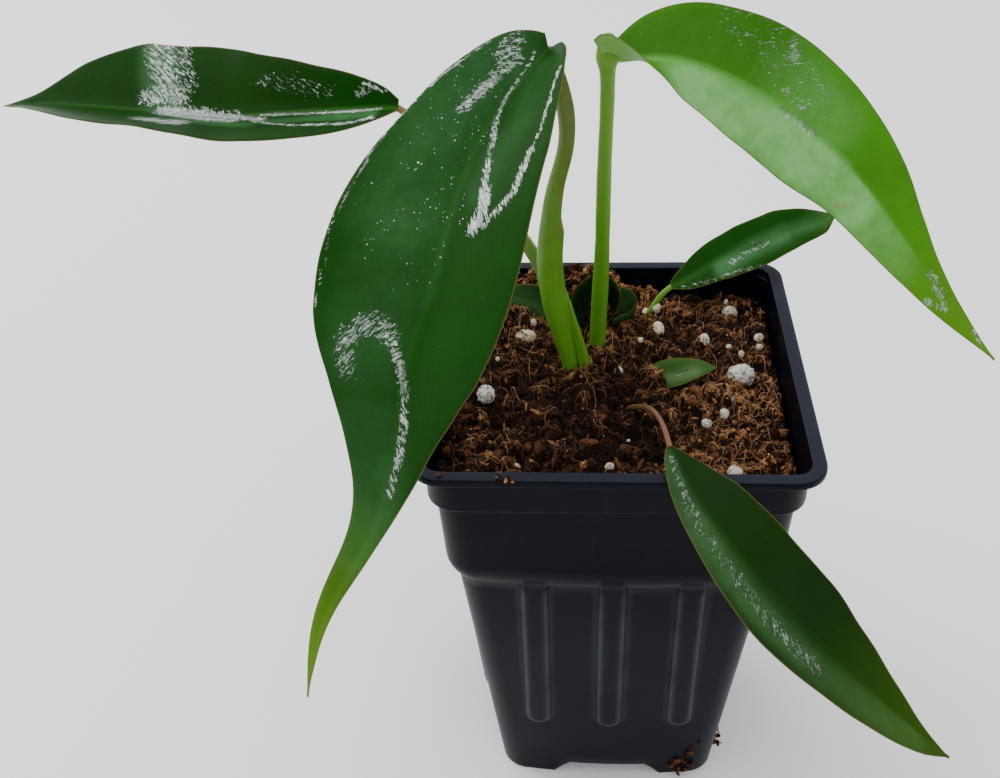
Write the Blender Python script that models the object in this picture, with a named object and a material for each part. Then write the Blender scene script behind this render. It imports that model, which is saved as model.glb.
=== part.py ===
"""Young philodendron joepii in a square nursery pot.

The pot stands on z = 0 with the origin under its centre. Its front face looks along -Y, and +X is to the
right of someone who faces it. Lengths are in metres, but the points, widths and radii of leaves, stems and
grains are in millimetres, which MM turns into metres.
"""
import math
import random

import bmesh
import bpy
import numpy as np
from mathutils import Vector

MM = 0.001
GAP = 0.0003            # clearance between pieces that touch

# Pot: outer half widths at the height of each change in the wall
POT_HEIGHT = 0.135
RIM_HALF = 0.050
RIM_FLAT = 0.0036       # width of the flat rim
RIM_THICK = 0.0022
COLLAR_HALF = 0.0468
COLLAR_LOW = 0.1215     # underside of the collar
BAND_TOP_HALF = 0.0450
BAND_LOW_HALF = 0.0439
BAND_LOW = 0.1000       # where the band starts to curve in
BODY_TOP_HALF = 0.0413
BODY_TOP = 0.0920
FOOT_HALF = 0.0324
WALL = 0.0014
CORNER = 0.0080         # corner radius in plan
BOW = 0.0016            # how far the lower faces bulge at their middle
EDGE = 0.0006           # rounding along the pot's edges
CURVE_STEPS = 4         # rings in the curve under the band
FLOOR_LOW = 0.0055
FLOOR_TOP = 0.0070
ARCH_FOOT_HALF = 0.0172   # half width of the arch between two feet, just under the ground
ARCH_TOP_HALF = 0.0120
ARCH_HIGH = 0.0050
PAD_RADIUS = 0.0080     # round pad under the middle of the floor
DRAIN_RADIUS = 0.0035
DRAIN_PLACE = 0.0165    # drain holes, off the centre in X and Y
RIB_PITCH = 0.0206
RIB_WIDTH = 0.0075
RIB_PROUD = 0.0014
RIB_ROUND = 0.0007      # rounding along the edge of a rib
RIB_ROOT = 0.0009       # how far a rib is sunk into the wall
RIB_LOW = 0.0280
RIB_HIGH = 0.0948       # where a rib has run into the curve under the band
CUTTER_REACH = 0.0010   # how far a cutter runs past what it cuts

# Potting mix
SOIL_HIGH = 0.1255
SOIL_BACK = 0.0012      # how much higher it lies at the back
SOIL_EDGE = 0.0014      # how much lower it lies at the wall
SOIL_GAP = 0.0005       # clearance to the sloping wall
STEM_GAP = 0.00035      # clearance about a stem in its hole
GRAIN_GAP = 0.0004      # clearance about a grain in its hollow
SLOT_GAP = 0.0005       # clearance about a blade that is partly buried
SOIL_RINGS = 10
LUMPS = 90              # rounded lumps in the surface
LUMP_HIGH = 0.0013
LUMP_SEED = 7

# Blades, as thin solids of one thickness
BLADE_THICK = 0.0007
TIP_HALF = 0.4
LOBE_POWER = 1.4        # above 1, a lobe reaches back mostly at its margin
ROW_POWER = 1.4         # above 1, rows of faces lie closer together at the base of a blade
CURL_STEPS = 9

# Where the half widths below are measured, from base (0) to tip (1) of a blade
LONG = (0, 0.008, 0.03, 0.08, 0.16, 0.28, 0.42, 0.56, 0.70, 0.84, 1)
OVAL = (0, 0.03, 0.10, 0.20, 0.35, 0.50, 0.65, 0.80, 0.92, 1)

# A blade runs along its rib and faces "facing", turned by "roll" degrees about the rib. "left" and "right"
# are half widths, seen from the face with the tip ahead. "fold" lifts each half off the flat, "curl" bends
# it towards its margin, and "lobes" is how far each half reaches back past the base.
BLADES = {
    "leaf_large_front": dict(
        rib=[(-16, 0, 221), (-28, -15, 211), (-36, -28, 199), (-41, -40, 184), (-47, -48, 168),
             (-51, -56, 149), (-58, -61, 128), (-70, -65, 106), (-78, -68, 77)],
        facing=(-0.3, -0.75, 0.6),
        roll=[(0, -2), (0.25, 3), (0.5, 3), (0.75, -4), (1, -9)],
        at=LONG,
        left=(3, 6, 10, 16.5, 22, 23, 21, 10, 3.5, 2, 0),
        right=(3, 5.5, 9.5, 13.5, 18, 25.5, 23, 12.5, 5, 2.5, 0),
        fold_left=[(0, 50), (0.1, 38), (0.25, 24), (1, 15)],
        fold_right=[(0, 40), (0.1, 30), (0.25, 22), (1, 15)],
        curl=-15, lobes=(2, 2), reach=0.12, rows=26, halves=4),
    "leaf_large_right": dict(
        rib=[(-3, 2, 217), (12, 6, 216), (26, 8, 210), (40, 10, 201), (53, 10, 190),
             (65, 8, 177), (75, 4, 165), (86, 0, 152), (97, -5, 140)],
        facing=(0.1, -0.45, 0.85),
        roll=[(0, -6), (0.2, 40), (0.4, 39), (0.6, 29), (0.8, 19), (1, 15)],
        at=LONG,
        left=(1.5, 3, 5.5, 10, 14, 16, 14.5, 11.5, 6.5, 2.5, 0),
        right=(7, 9.5, 11, 11, 10.5, 13, 14, 11, 8, 4.5, 0),
        fold_left=[(0, 25), (0.25, 12), (1, 10)],
        fold_right=[(0, 95), (0.08, 55), (0.18, 28), (0.35, 14), (1, 10)],
        curl=-10, lobes=(0, 4), reach=0.25, rows=28, halves=4),
    "leaf_upper_left": dict(
        rib=[(-54, 14, 201), (-69, 17, 199), (-84, 20, 197), (-100, 23, 195), (-116, 26, 195),
             (-132, 29, 195), (-148, 32, 195), (-165, 36, 193)],
        facing=(0, -0.41, 0.91),
        roll=[(0, -15), (0.33, 5), (0.67, 15), (1, 15)],
        at=OVAL,
        left=(1, 3, 8, 13.5, 17.5, 18, 18, 13, 4, 0),
        right=(1, 3.5, 8, 12, 17, 20.5, 20.5, 14, 3, 0),
        fold_left=[(0, 30), (1, 30)],
        fold_right=[(0, 30), (1, 30)],
        curl=-12, lobes=(0.5, 0.5), reach=0.25, rows=20, halves=4),
    "leaf_small_back": dict(
        rib=[(17.5, 36, 135), (24, 38, 138), (30, 40, 141), (37, 42, 143), (44, 44, 145),
             (51, 45, 148), (57.5, 46, 150.3), (64, 46, 152.8)],
        facing=(0, -0.5, 0.85),
        roll=[(0, 8), (0.67, 9), (1, 12)],
        at=OVAL,
        left=(1, 2, 3.5, 5, 6.5, 7.5, 7.5, 5.5, 2.5, 0),
        right=(1, 2, 4, 5.5, 7, 7, 6.5, 5.5, 4.5, 0),
        fold_left=[(0, 15), (1, 15)],
        fold_right=[(0, 15), (1, 15)],
        curl=-8, lobes=(0, 0), reach=0.25, rows=14, halves=3),
    "leaf_lower_right": dict(
        rib=[(12.7, -41, 138.3), (18, -56, 135), (26, -67, 130), (34, -75, 124), (43, -81, 117),
             (53, -86, 109), (63, -90, 101), (74, -93, 92)],
        facing=(0.1, -0.6, 0.8),
        roll=[(0, -5), (0.33, -6), (0.67, -13), (1, -13)],
        at=OVAL,
        left=(1, 3, 7, 10.5, 12, 12, 9.5, 5, 1.5, 0),
        right=(1, 2.5, 4.5, 6.5, 9.5, 11, 9.5, 6, 3, 0),
        fold_left=[(0, 18), (1, 18)],
        fold_right=[(0, 18), (1, 18)],
        curl=-10, lobes=(0, 0), reach=0.25, rows=20, halves=3),
    "leaf_seedling": dict(
        rib=[(10.2, 3.6, 122.5), (13, 3.2, 126.2), (18, 2.4, 128.8), (23, 2.4, 130), (28, 3, 130)],
        facing=(0, -0.6, 0.8),
        roll=[(0, 0), (1, 0)],
        at=OVAL,
        left=(1, 1.6, 2.4, 3.2, 3.9, 4, 3.5, 2.5, 1.2, 0),
        right=(1, 1.6, 2.4, 3.2, 3.9, 4, 3.5, 2.5, 1.2, 0),
        fold_left=[(0, 16), (1, 12)],
        fold_right=[(0, 16), (1, 12)],
        curl=-8, lobes=(0, 0), reach=0.25, rows=10, halves=2),
    "leaf_old_left": dict(
        rib=[(-13.5, 31, 121.5), (-15.5, 31, 126), (-20, 32, 131), (-26, 33, 133.5), (-32, 34, 134)],
        facing=(0, -0.8, 0.6),
        roll=[(0, 0), (1, 0)],
        at=OVAL,
        left=(1, 1.8, 3, 4, 4.8, 5, 4.5, 3.4, 2, 0),
        right=(1, 1.8, 3, 4, 4.8, 5, 4.5, 3.4, 2, 0),
        fold_left=[(0, 14), (1, 10)],
        fold_right=[(0, 14), (1, 10)],
        curl=-10, lobes=(0, 0), reach=0.25, rows=10, halves=2),
}
BURIED_BLADES = ("leaf_seedling", "leaf_old_left")

# The old leaf rolled into a cup: its front edge, from the loose flap round to the inner margin
ROLL_EDGE = [(6.8, 28.6, 133.5), (6.6, 28.6, 129), (3.2, 28, 124), (-3, 28, 122.5), (-9, 28.5, 125.5),
             (-11.6, 29, 132), (-10, 29.6, 138.5), (-5, 30, 142.3), (0, 30, 141.3), (2.6, 30, 136),
             (1.5, 29.8, 130), (-1, 29.5, 126.8)]
ROLL_INWARD = (0, 8.1, -7.4)   # from its front edge back and down into the mix
ROLL_ROWS = 24

# Stems: points up the middle and a radius at each, the first one well under the mix. "flat" above 1 makes
# a stem wider across than deep.
STEMS = {
    "petiole_large_front": dict(
        path=[(-9.5, 7.5, 108), (-11, 7.5, 126), (-13.5, 7.3, 137.5), (-16, 7, 149), (-17.2, 6.6, 161),
              (-16.5, 6, 172), (-14.9, 5.2, 184), (-12.6, 4.2, 194), (-12.3, 3, 203.5), (-13.7, 1.9, 211.5),
              (-15.3, 1.1, 217.5), (-15.8, 0.6, 220.1)],
        radius=(1.9, 2.0, 2.3, 2.6, 2.6, 2.3, 1.85, 1.75, 1.75, 1.7, 1.5, 1.3), flat=1.15, rows=20),
    "petiole_large_right": dict(
        path=[(-4.4, 19.4, 108), (-4, 18, 125), (-3.6, 16.5, 139.7), (-3.1, 14, 158.4), (-2.9, 9, 188.8),
              (-2.6, 4.5, 209), (-2.75, 2.4, 216.3)],
        radius=(2.2, 2.3, 2.2, 2.0, 1.8, 1.7, 2.1), flat=1.0, rows=14),
    "petiole_upper_left": dict(
        path=[(-9, 14, 110), (-11.6, 14.2, 128.6), (-15.4, 14.4, 141.3), (-18.8, 14.6, 153.2),
              (-26, 15, 166.4), (-37, 15, 183.4), (-46.5, 14.5, 194.7), (-53.2, 14, 200.5)],
        radius=(2.0, 2.0, 2.0, 2.0, 1.7, 1.2, 1.0, 0.9), flat=1.0, rows=16),
    "petiole_small_back": dict(
        path=[(8, 33, 114), (10.4, 33.5, 125.3), (13, 34.3, 130.4), (14.9, 35, 132.9), (17, 35.8, 134.5)],
        radius=(0.8, 0.8, 0.8, 0.8, 0.8), flat=1.0, rows=9),
    "petiole_lower_right": dict(
        path=[(-0.5, -2, 112), (4.4, -8.7, 124.8), (7.1, -15, 130.3), (9.4, -22, 134.8), (11.2, -29, 136.8),
              (12.1, -35, 137.6), (12.5, -40.3, 138.1)],
        radius=(0.9, 0.9, 0.85, 0.8, 0.8, 0.8, 0.8), flat=1.0, rows=14),
    "bud_sheath": dict(
        path=[(-5, 7.8, 112), (-6.8, 7.6, 126), (-9.1, 7.4, 137.5), (-11.3, 7.2, 147), (-12.6, 7, 153)],
        radius=(1.3, 1.3, 1.1, 0.8, 0.4), flat=1.0, rows=8),
}
STEM_SIDES = 8

# The largest grains of perlite: place on the mix, width, length and height
GRAINS = {
    "perlite_right": (35, 4, 8.0, 6.2, 5.6),
    "perlite_left": (-34.2, -5, 5.0, 6.0, 4.6),
    "perlite_back_left": (-24.5, 22.5, 6.4, 5.0, 4.0),
    "perlite_back_right": (34.7, 35, 4.6, 4.2, 4.2),
    "perlite_middle": (13.7, 26.5, 3.4, 5.2, 4.0),
    "perlite_far_right": (26.3, 21, 3.2, 4.0, 3.6),
}
GRAIN_RISE = 0.001      # a grain's middle above the mix's mean height
GRAIN_WAVES = 4         # waves that make a grain uneven
GRAIN_WAVE_RATE = 2.6
GRAIN_UNEVEN = 0.05

# Colour and roughness of each material
LOOKS = {
    "black_plastic": ((0.014, 0.017, 0.024), 0.45),
    "potting_mix": ((0.045, 0.022, 0.012), 0.95),
    "leaf_dark": ((0.020, 0.085, 0.014), 0.25),
    "leaf_deep": ((0.012, 0.050, 0.010), 0.25),
    "leaf_light": ((0.085, 0.240, 0.025), 0.30),
    "leaf_old": ((0.030, 0.080, 0.030), 0.50),
    "stalk_green": ((0.150, 0.300, 0.030), 0.40),
    "stalk_brown": ((0.180, 0.070, 0.040), 0.50),
    "perlite": ((0.700, 0.680, 0.620), 0.90),
}
LEAF_LOOKS = {
    "leaf_large_front": "leaf_dark",
    "leaf_large_right": "leaf_light",
    "leaf_upper_left": "leaf_dark",
    "leaf_small_back": "leaf_dark",
    "leaf_lower_right": "leaf_deep",
    "leaf_seedling": "leaf_light",
    "leaf_old_left": "leaf_old",
    "leaf_rolled_back": "leaf_old",
}


def clear_scene():
    for thing in list(bpy.data.objects):
        bpy.data.objects.remove(thing, do_unlink=True)


def material(look):
    colour, roughness = LOOKS[look]
    made = bpy.data.materials.new(look)
    made.use_nodes = True
    shader = made.node_tree.nodes["Principled BSDF"]
    shader.inputs["Base Color"].default_value = (*colour, 1.0)
    shader.inputs["Roughness"].default_value = roughness
    shader.inputs["Metallic"].default_value = 0.0
    return made


def add_object(name, vertices, faces, look=None, hidden=False):
    """Object from points and faces, its faces pointing out. A hidden one only cuts or joins others."""
    mesh = bpy.data.meshes.new(name)
    mesh.from_pydata([tuple(point) for point in vertices], [], faces)
    shape = bmesh.new()
    shape.from_mesh(mesh)
    bmesh.ops.recalc_face_normals(shape, faces=shape.faces)
    shape.to_mesh(mesh)
    shape.free()
    mesh.shade_smooth()
    mesh.set_sharp_from_angle(angle=math.radians(40))
    thing = bpy.data.objects.new(name, mesh)
    bpy.context.scene.collection.objects.link(thing)
    if look is not None:
        mesh.materials.append(material(look))
    if hidden:
        thing.hide_render = True
        thing.display_type = "WIRE"
    return thing


def cut(target, cutter, operation="DIFFERENCE"):
    modifier = target.modifiers.new(operation.lower() + "_" + cutter.name, "BOOLEAN")
    modifier.operation = operation
    modifier.solver = "EXACT"
    modifier.object = cutter


def smooth_curve(points, count, power=1.0):
    """Points on a natural cubic spline, and their share of its length. Power above 1 crowds its start."""
    knots = np.asarray(points, float)
    along = np.r_[0, np.cumsum(np.linalg.norm(np.diff(knots, axis=0), axis=1))]
    step = np.diff(along)
    last = len(knots) - 1
    matrix = np.eye(last + 1)
    right = np.zeros_like(knots)
    for i in range(1, last):
        matrix[i, i - 1:i + 2] = step[i - 1], 2 * (step[i - 1] + step[i]), step[i]
        right[i] = 6 * ((knots[i + 1] - knots[i]) / step[i] - (knots[i] - knots[i - 1]) / step[i - 1])
    bend = np.linalg.solve(matrix, right)
    place = np.linspace(0, along[-1], 500)
    i = np.clip(np.searchsorted(along, place, side="right") - 1, 0, last - 1)
    a = ((along[i + 1] - place) / step[i])[:, None]
    b = ((place - along[i]) / step[i])[:, None]
    curve = a * knots[i] + b * knots[i + 1]
    curve += ((a ** 3 - a) * bend[i] + (b ** 3 - b) * bend[i + 1]) * (step[i] ** 2)[:, None] / 6
    length = np.r_[0, np.cumsum(np.linalg.norm(np.diff(curve, axis=0), axis=1))]
    share = np.linspace(0, 1, count) ** power
    return np.stack([np.interp(share * length[-1], length, curve[:, k]) for k in range(3)], axis=1), share


def knot_shares(points):
    """How far along the polyline through the points each of them lies, from 0 to 1."""
    knots = np.asarray(points, float)
    along = np.r_[0, np.cumsum(np.linalg.norm(np.diff(knots, axis=0), axis=1))]
    return along / along[-1]


def smooth_values(places, values, share):
    """Values between knots, smooth and without overshoot."""
    x, y = np.asarray(places, float), np.asarray(values, float)
    step = np.diff(x)
    rise = np.diff(y) / step
    slope = np.zeros(len(x))
    slope[0], slope[-1] = rise[0], rise[-1]
    for i in range(1, len(x) - 1):
        if rise[i - 1] * rise[i] > 0:
            near, far = 2 * step[i] + step[i - 1], step[i] + 2 * step[i - 1]
            slope[i] = (near + far) / (near / rise[i - 1] + far / rise[i])
    i = np.clip(np.searchsorted(x, share, side="right") - 1, 0, len(x) - 2)
    s = (share - x[i]) / step[i]
    return ((1 + 2 * s) * (1 - s) ** 2 * y[i] + s * (1 - s) ** 2 * step[i] * slope[i]
            + s * s * (3 - 2 * s) * y[i + 1] + s * s * (s - 1) * step[i] * slope[i + 1])


def loft(rings, peak=None):
    """Vertices and faces of a solid through closed rings of equal length, capped at both ends.

    With a peak, the last ring closes onto that point instead of a flat cap.
    """
    count = len(rings[0])
    vertices = [point for ring in rings for point in ring]
    last = len(vertices) - count
    faces = [list(range(count))[::-1]]
    if peak is None:
        faces.append([last + k for k in range(count)])
    else:
        vertices.append(peak)
        faces += [[last + k, last + (k + 1) % count, last + count] for k in range(count)]
    for row in range(len(rings) - 1):
        for k in range(count):
            a, b = row * count + k, row * count + (k + 1) % count
            faces.append([a, b, b + count, a + count])
    return vertices, faces


def plan_outline(half, radius, bow=0.0, corner_steps=4, side_points=3):
    """Rounded square in plan, as (x, y) points, whose sides bulge by bow at their middle."""
    straight = half - radius
    outline = []
    for turn in range(4):
        angle = turn * math.pi / 2
        side = []
        for k in range(side_points):
            along = straight * (2 * (k + 1) / (side_points + 1) - 1)
            side.append((along, -half - bow * (1 - (along / straight) ** 2)))
        for k in range(corner_steps + 1):
            swing = math.pi / 2 * k / corner_steps
            side.append((straight + radius * math.sin(swing), -straight - radius * math.cos(swing)))
        outline += [(x * math.cos(angle) - y * math.sin(angle), x * math.sin(angle) + y * math.cos(angle))
                    for x, y in side]
    return outline


def plan_ring(height, half, radius=CORNER, bow=0.0):
    return [(x, y, height) for x, y in plan_outline(half, radius, bow)]


def wall_half(height):
    """Outer half width of the pot under its collar, away from the bulge."""
    if height < BODY_TOP:
        return FOOT_HALF + (BODY_TOP_HALF - FOOT_HALF) * height / BODY_TOP
    if height < BAND_LOW:
        below = (BAND_LOW - height) / (BAND_LOW - BODY_TOP)
        return BAND_LOW_HALF - (BAND_LOW_HALF - BODY_TOP_HALF) * below ** 2
    return BAND_LOW_HALF + (BAND_TOP_HALF - BAND_LOW_HALF) * (height - BAND_LOW) / (COLLAR_LOW - BAND_LOW)


def wall_bow(height):
    """How far the wall bulges. It fades out up the band."""
    return BOW * min(1.0, (COLLAR_LOW - height) / (COLLAR_LOW - BODY_TOP)) ** 3


def wall_ring(height, inset=0.0):
    """Ring round the wall under the collar, moved inwards by inset."""
    return plan_ring(height, wall_half(height) - inset, CORNER - inset, wall_bow(height))


def wall_heights(low):
    """Heights of the rings from low up to the collar, close together in the curve under the band."""
    curve = [BODY_TOP + (BAND_LOW - BODY_TOP) * (k / CURVE_STEPS) ** 1.5 for k in range(CURVE_STEPS + 1)]
    return [low] + curve + [(BAND_LOW + COLLAR_LOW) / 2, COLLAR_LOW - EDGE]


def pot_rings():
    """Rings from the floor's underside, down the skirt, up the outside and down the inside to the floor."""
    collar_top = POT_HEIGHT - RIM_THICK
    rim_inner = RIM_HALF - RIM_FLAT
    rings = [wall_ring(FLOOR_LOW, WALL), wall_ring(0, WALL), wall_ring(0, EDGE)]
    rings += [wall_ring(height) for height in wall_heights(EDGE)]
    collar_and_rim = [
        (COLLAR_LOW, BAND_TOP_HALF + EDGE),
        (COLLAR_LOW + EDGE, COLLAR_HALF - EDGE),
        (COLLAR_LOW + 2 * EDGE, COLLAR_HALF),
        (collar_top - EDGE, COLLAR_HALF),
        (collar_top, COLLAR_HALF + EDGE),
        (collar_top, RIM_HALF - EDGE),
        (collar_top + EDGE, RIM_HALF),
        (POT_HEIGHT - EDGE, RIM_HALF),
        (POT_HEIGHT, RIM_HALF - EDGE),
    ]
    rings += [plan_ring(height, half) for height, half in collar_and_rim]
    rings += [plan_ring(POT_HEIGHT, rim_inner, CORNER - RIM_FLAT),
              plan_ring(POT_HEIGHT - EDGE, rim_inner - EDGE, CORNER - RIM_FLAT - EDGE),
              plan_ring(COLLAR_LOW + 2 * EDGE, COLLAR_HALF - WALL, CORNER - WALL)]
    return rings + [wall_ring(height, WALL) for height in reversed(wall_heights(FLOOR_TOP))]


def turned(points, turn):
    """Points turned about Z by a number of quarter turns."""
    cosine, sine = math.cos(turn * math.pi / 2), math.sin(turn * math.pi / 2)
    return [(x * cosine - y * sine, x * sine + y * cosine, z) for x, y, z in points]


def join_solids(solids):
    vertices, faces = [], []
    for points, polygons in solids:
        faces += [[corner + len(vertices) for corner in polygon] for polygon in polygons]
        vertices += points
    return vertices, faces


def rib_solid(place, end_steps=8):
    """One raised rib on the front face, from its rounded foot up into the underside of the band."""
    turns = [math.pi * (1 + k / end_steps) for k in range(end_steps + 1)]
    foot = RIB_LOW + RIB_WIDTH / 2

    def ring(inset, proud):
        """The rib's outline. Its root follows the wall, and its face runs straight on under the band."""
        radius = RIB_WIDTH / 2 - inset
        spots = [(radius * math.cos(turn), foot + radius * math.sin(turn)) for turn in turns]
        spots += [(radius, BODY_TOP), (radius, RIB_HIGH), (-radius, RIB_HIGH), (-radius, BODY_TOP)]
        points = []
        for across, height in spots:
            level = height if proud < 0 else min(height, BODY_TOP)
            share = min(1.0, abs(place) / (wall_half(level) - CORNER))
            surface = wall_half(level) + wall_bow(level) * (1 - share ** 2)
            points.append((place + across, -surface - proud, height))
        return points
    return loft([ring(0, -RIB_ROOT), ring(0, RIB_PROUD - RIB_ROUND), ring(RIB_ROUND, RIB_PROUD)])


def make_ribs():
    solids = []
    for turn in range(4):
        for k in (-1, 0, 1):
            points, faces = rib_solid(k * RIB_PITCH)
            solids.append((turned(points, turn), faces))
    return add_object("guide_ribs", *join_solids(solids), hidden=True)


def make_arches():
    """Four short prisms that leave the pot standing on its corners."""
    profile = [(-ARCH_FOOT_HALF, -CUTTER_REACH), (ARCH_FOOT_HALF, -CUTTER_REACH),
               (ARCH_TOP_HALF, ARCH_HIGH), (-ARCH_TOP_HALF, ARCH_HIGH)]
    solids = []
    for turn in range(4):
        rings = [[(x, -y, z) for x, z in profile] for y in (FOOT_HALF + CORNER, FOOT_HALF - CORNER)]
        points, faces = loft(rings)
        solids.append((turned(points, turn), faces))
    return add_object("cutter_arches", *join_solids(solids), hidden=True)


def upright(x, y, radius, low, high, sides=20):
    """Upright round solid about (x, y)."""
    turns = [2 * math.pi * k / sides for k in range(sides)]
    return loft([[(x + radius * math.cos(turn), y + radius * math.sin(turn), z) for turn in turns]
                 for z in (low, high)])


def make_pot():
    pot = add_object("pot", *loft(pot_rings()), look="black_plastic")
    cut(pot, make_ribs(), "UNION")
    pad = upright(0, 0, PAD_RADIUS, 0, FLOOR_LOW + EDGE)
    cut(pot, add_object("guide_pad", *pad, hidden=True), "UNION")
    cut(pot, make_arches())
    low, high = FLOOR_LOW - CUTTER_REACH, FLOOR_TOP + CUTTER_REACH
    drains = [upright(x * DRAIN_PLACE, y * DRAIN_PLACE, DRAIN_RADIUS, low, high, 14)
              for x in (-1, 1) for y in (-1, 1)]
    cut(pot, add_object("cutter_drains", *join_solids(drains), hidden=True))


def soil_height(x, y, lumps):
    """Height of the mix: a little higher towards the back, lower at the wall, with lumps that end there."""
    edge = max(abs(x), abs(y)) / COLLAR_HALF
    height = SOIL_HIGH + SOIL_BACK * max(0.0, y / COLLAR_HALF) - SOIL_EDGE * edge ** 6
    for centre_x, centre_y, spread, lift in lumps:
        distance = math.hypot(x - centre_x, y - centre_y)
        height += lift * math.exp(-(distance / spread) ** 2) * (1 - edge ** 6)
    return height


def soil_lumps():
    """Place, spread and lift of each lump or dip in the surface of the mix."""
    chance = random.Random(LUMP_SEED)
    return [(chance.uniform(-0.045, 0.045), chance.uniform(-0.045, 0.045), chance.uniform(0.003, 0.006),
             chance.uniform(-LUMP_HIGH, LUMP_HIGH)) for _ in range(LUMPS)]


def make_soil():
    inset = WALL + SOIL_GAP
    edge_half, edge_radius = COLLAR_HALF - inset, CORNER - inset
    lumps = soil_lumps()
    side = [wall_ring(height, inset) for height in wall_heights(FLOOR_TOP + GAP)]
    side.append(plan_ring(COLLAR_LOW + 2 * EDGE, edge_half, edge_radius))
    top = []
    for k in range(SOIL_RINGS):
        scale = 1 - (k / SOIL_RINGS) ** 1.1
        spots = [(x * scale, y * scale) for x, y in plan_outline(edge_half, edge_radius)]
        top.append([(x, y, soil_height(x, y, lumps)) for x, y in spots])
    peak = (0.0, 0.0, soil_height(0.0, 0.0, lumps))
    return add_object("soil", *loft(side + top, peak), look="potting_mix")


def blade_grid(spec):
    """Middle surface of a blade: rows from base to tip, columns from the left margin to the right one."""
    rib, share = smooth_curve(spec["rib"], spec["rows"], ROW_POWER)
    ahead = np.gradient(rib, axis=0)
    ahead /= np.linalg.norm(ahead, axis=1)[:, None]
    facing = np.asarray(spec["facing"], float)
    face = facing - (ahead @ facing)[:, None] * ahead
    face /= np.linalg.norm(face, axis=1)[:, None]
    aside = np.cross(ahead, face)
    roll = np.radians(smooth_values(*zip(*spec["roll"]), share))
    cosine, sine = np.cos(roll)[:, None], np.sin(roll)[:, None]
    face, aside = cosine * face + sine * aside, cosine * aside - sine * face
    halves = spec["halves"]
    grid = np.zeros((spec["rows"], 2 * halves + 1, 3))
    for sign, side, lobe in ((-1, "left", spec["lobes"][0]), (1, "right", spec["lobes"][1])):
        width = np.maximum(smooth_values(spec["at"], spec[side], share), TIP_HALF)
        fold = np.radians(smooth_values(*zip(*spec["fold_" + side]), share))
        back = lobe * np.clip(1 - share / spec["reach"], 0, 1) ** 2
        for k in range(halves + 1):
            out = k / halves
            angles = fold[:, None] + math.radians(spec["curl"]) * out * np.linspace(0, 1, CURL_STEPS)[None]
            flat = (np.cos(angles).mean(axis=1) * out * width)[:, None]
            rise = (np.sin(angles).mean(axis=1) * out * width)[:, None]
            behind = (back * out ** LOBE_POWER)[:, None]
            grid[:, halves + sign * k] = rib + sign * flat * aside + rise * face - behind * ahead
    return grid * MM


def sheet_solid(grid, thickness, grow=0.0):
    """Solid sheet about a grid of points, both faces cut into triangles alike. grow widens its outline."""
    grid = np.array(grid)
    if grow:
        for edge, inner in ((0, 1), (-1, -2)):
            away = grid[edge] - grid[inner]
            grid[edge] += grow * away / np.linalg.norm(away, axis=1)[:, None]
            away = grid[:, edge] - grid[:, inner]
            grid[:, edge] += grow * away / np.linalg.norm(away, axis=1)[:, None]
    rows, columns = grid.shape[:2]
    normal = np.cross(np.gradient(grid, axis=0), np.gradient(grid, axis=1))
    normal /= np.linalg.norm(normal, axis=2)[:, :, None]
    vertices = list(map(tuple, (grid + normal * thickness / 2).reshape(-1, 3)))
    vertices += list(map(tuple, (grid - normal * thickness / 2).reshape(-1, 3)))
    count = rows * columns
    faces = []
    for i in range(rows - 1):
        for j in range(columns - 1):
            a, b = i * columns + j, i * columns + j + 1
            c, d = b + columns, a + columns
            for triangle in ([a, b, c], [a, c, d]):
                faces.append(triangle)
                faces.append([corner + count for corner in reversed(triangle)])
    around = [(0, j) for j in range(columns)] + [(i, columns - 1) for i in range(1, rows)]
    around += [(rows - 1, j) for j in range(columns - 2, -1, -1)] + [(i, 0) for i in range(rows - 2, 0, -1)]
    loop = [i * columns + j for i, j in around]
    for k, a in enumerate(loop):
        b = loop[(k + 1) % len(loop)]
        faces.append([b, a, a + count, b + count])
    return vertices, faces


def roll_grid():
    edge, _ = smooth_curve(ROLL_EDGE, ROLL_ROWS)
    return np.stack([edge, edge + ROLL_INWARD], axis=1) * MM


def stem_solid(spec, grow=0.0):
    """Round stem along its path. grow makes it thicker, for its hole in the mix."""
    turns = [2 * math.pi * k / STEM_SIDES for k in range(STEM_SIDES)]
    path, share = smooth_curve(spec["path"], spec["rows"])
    radii = smooth_values(knot_shares(spec["path"]), spec["radius"], share)
    rings = []
    for k, point in enumerate(path):
        ahead = Vector(path[min(k + 1, len(path) - 1)] - path[max(k - 1, 0)]).normalized()
        across = Vector((1, 0, 0))
        across = (across - across.dot(ahead) * ahead).normalized()
        deep = ahead.cross(across)
        radius = float(radii[k]) * MM + grow
        centre = Vector(point) * MM
        if k == 0:
            centre -= ahead * grow
        wide, deep = radius * spec["flat"] * across, radius * deep
        rings.append([tuple(centre + math.cos(turn) * wide + math.sin(turn) * deep) for turn in turns])
    return loft(rings)


def grain_solid(name, grow=0.0):
    """Rounded, slightly uneven grain that lies half in the mix."""
    x, y, width, length, height = GRAINS[name]
    chance = random.Random(name)
    shape = bmesh.new()
    bmesh.ops.create_icosphere(shape, subdivisions=2, radius=1.0)
    vertices = []
    waves = [(Vector([chance.uniform(-1, 1) for _ in range(3)]) * GRAIN_WAVE_RATE, chance.uniform(0, 6))
             for _ in range(GRAIN_WAVES)]
    for vertex in shape.verts:
        uneven = 1 + GRAIN_UNEVEN * sum(math.sin(wave.dot(vertex.co) + start) for wave, start in waves)
        half = [size / 2 * MM * uneven + grow for size in (width, length, height)]
        vertices.append((x * MM + vertex.co.x * half[0], y * MM + vertex.co.y * half[1],
                         SOIL_HIGH + GRAIN_RISE + vertex.co.z * half[2]))
    faces = [[vertex.index for vertex in face.verts] for face in shape.faces]
    shape.free()
    return vertices, faces


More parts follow.
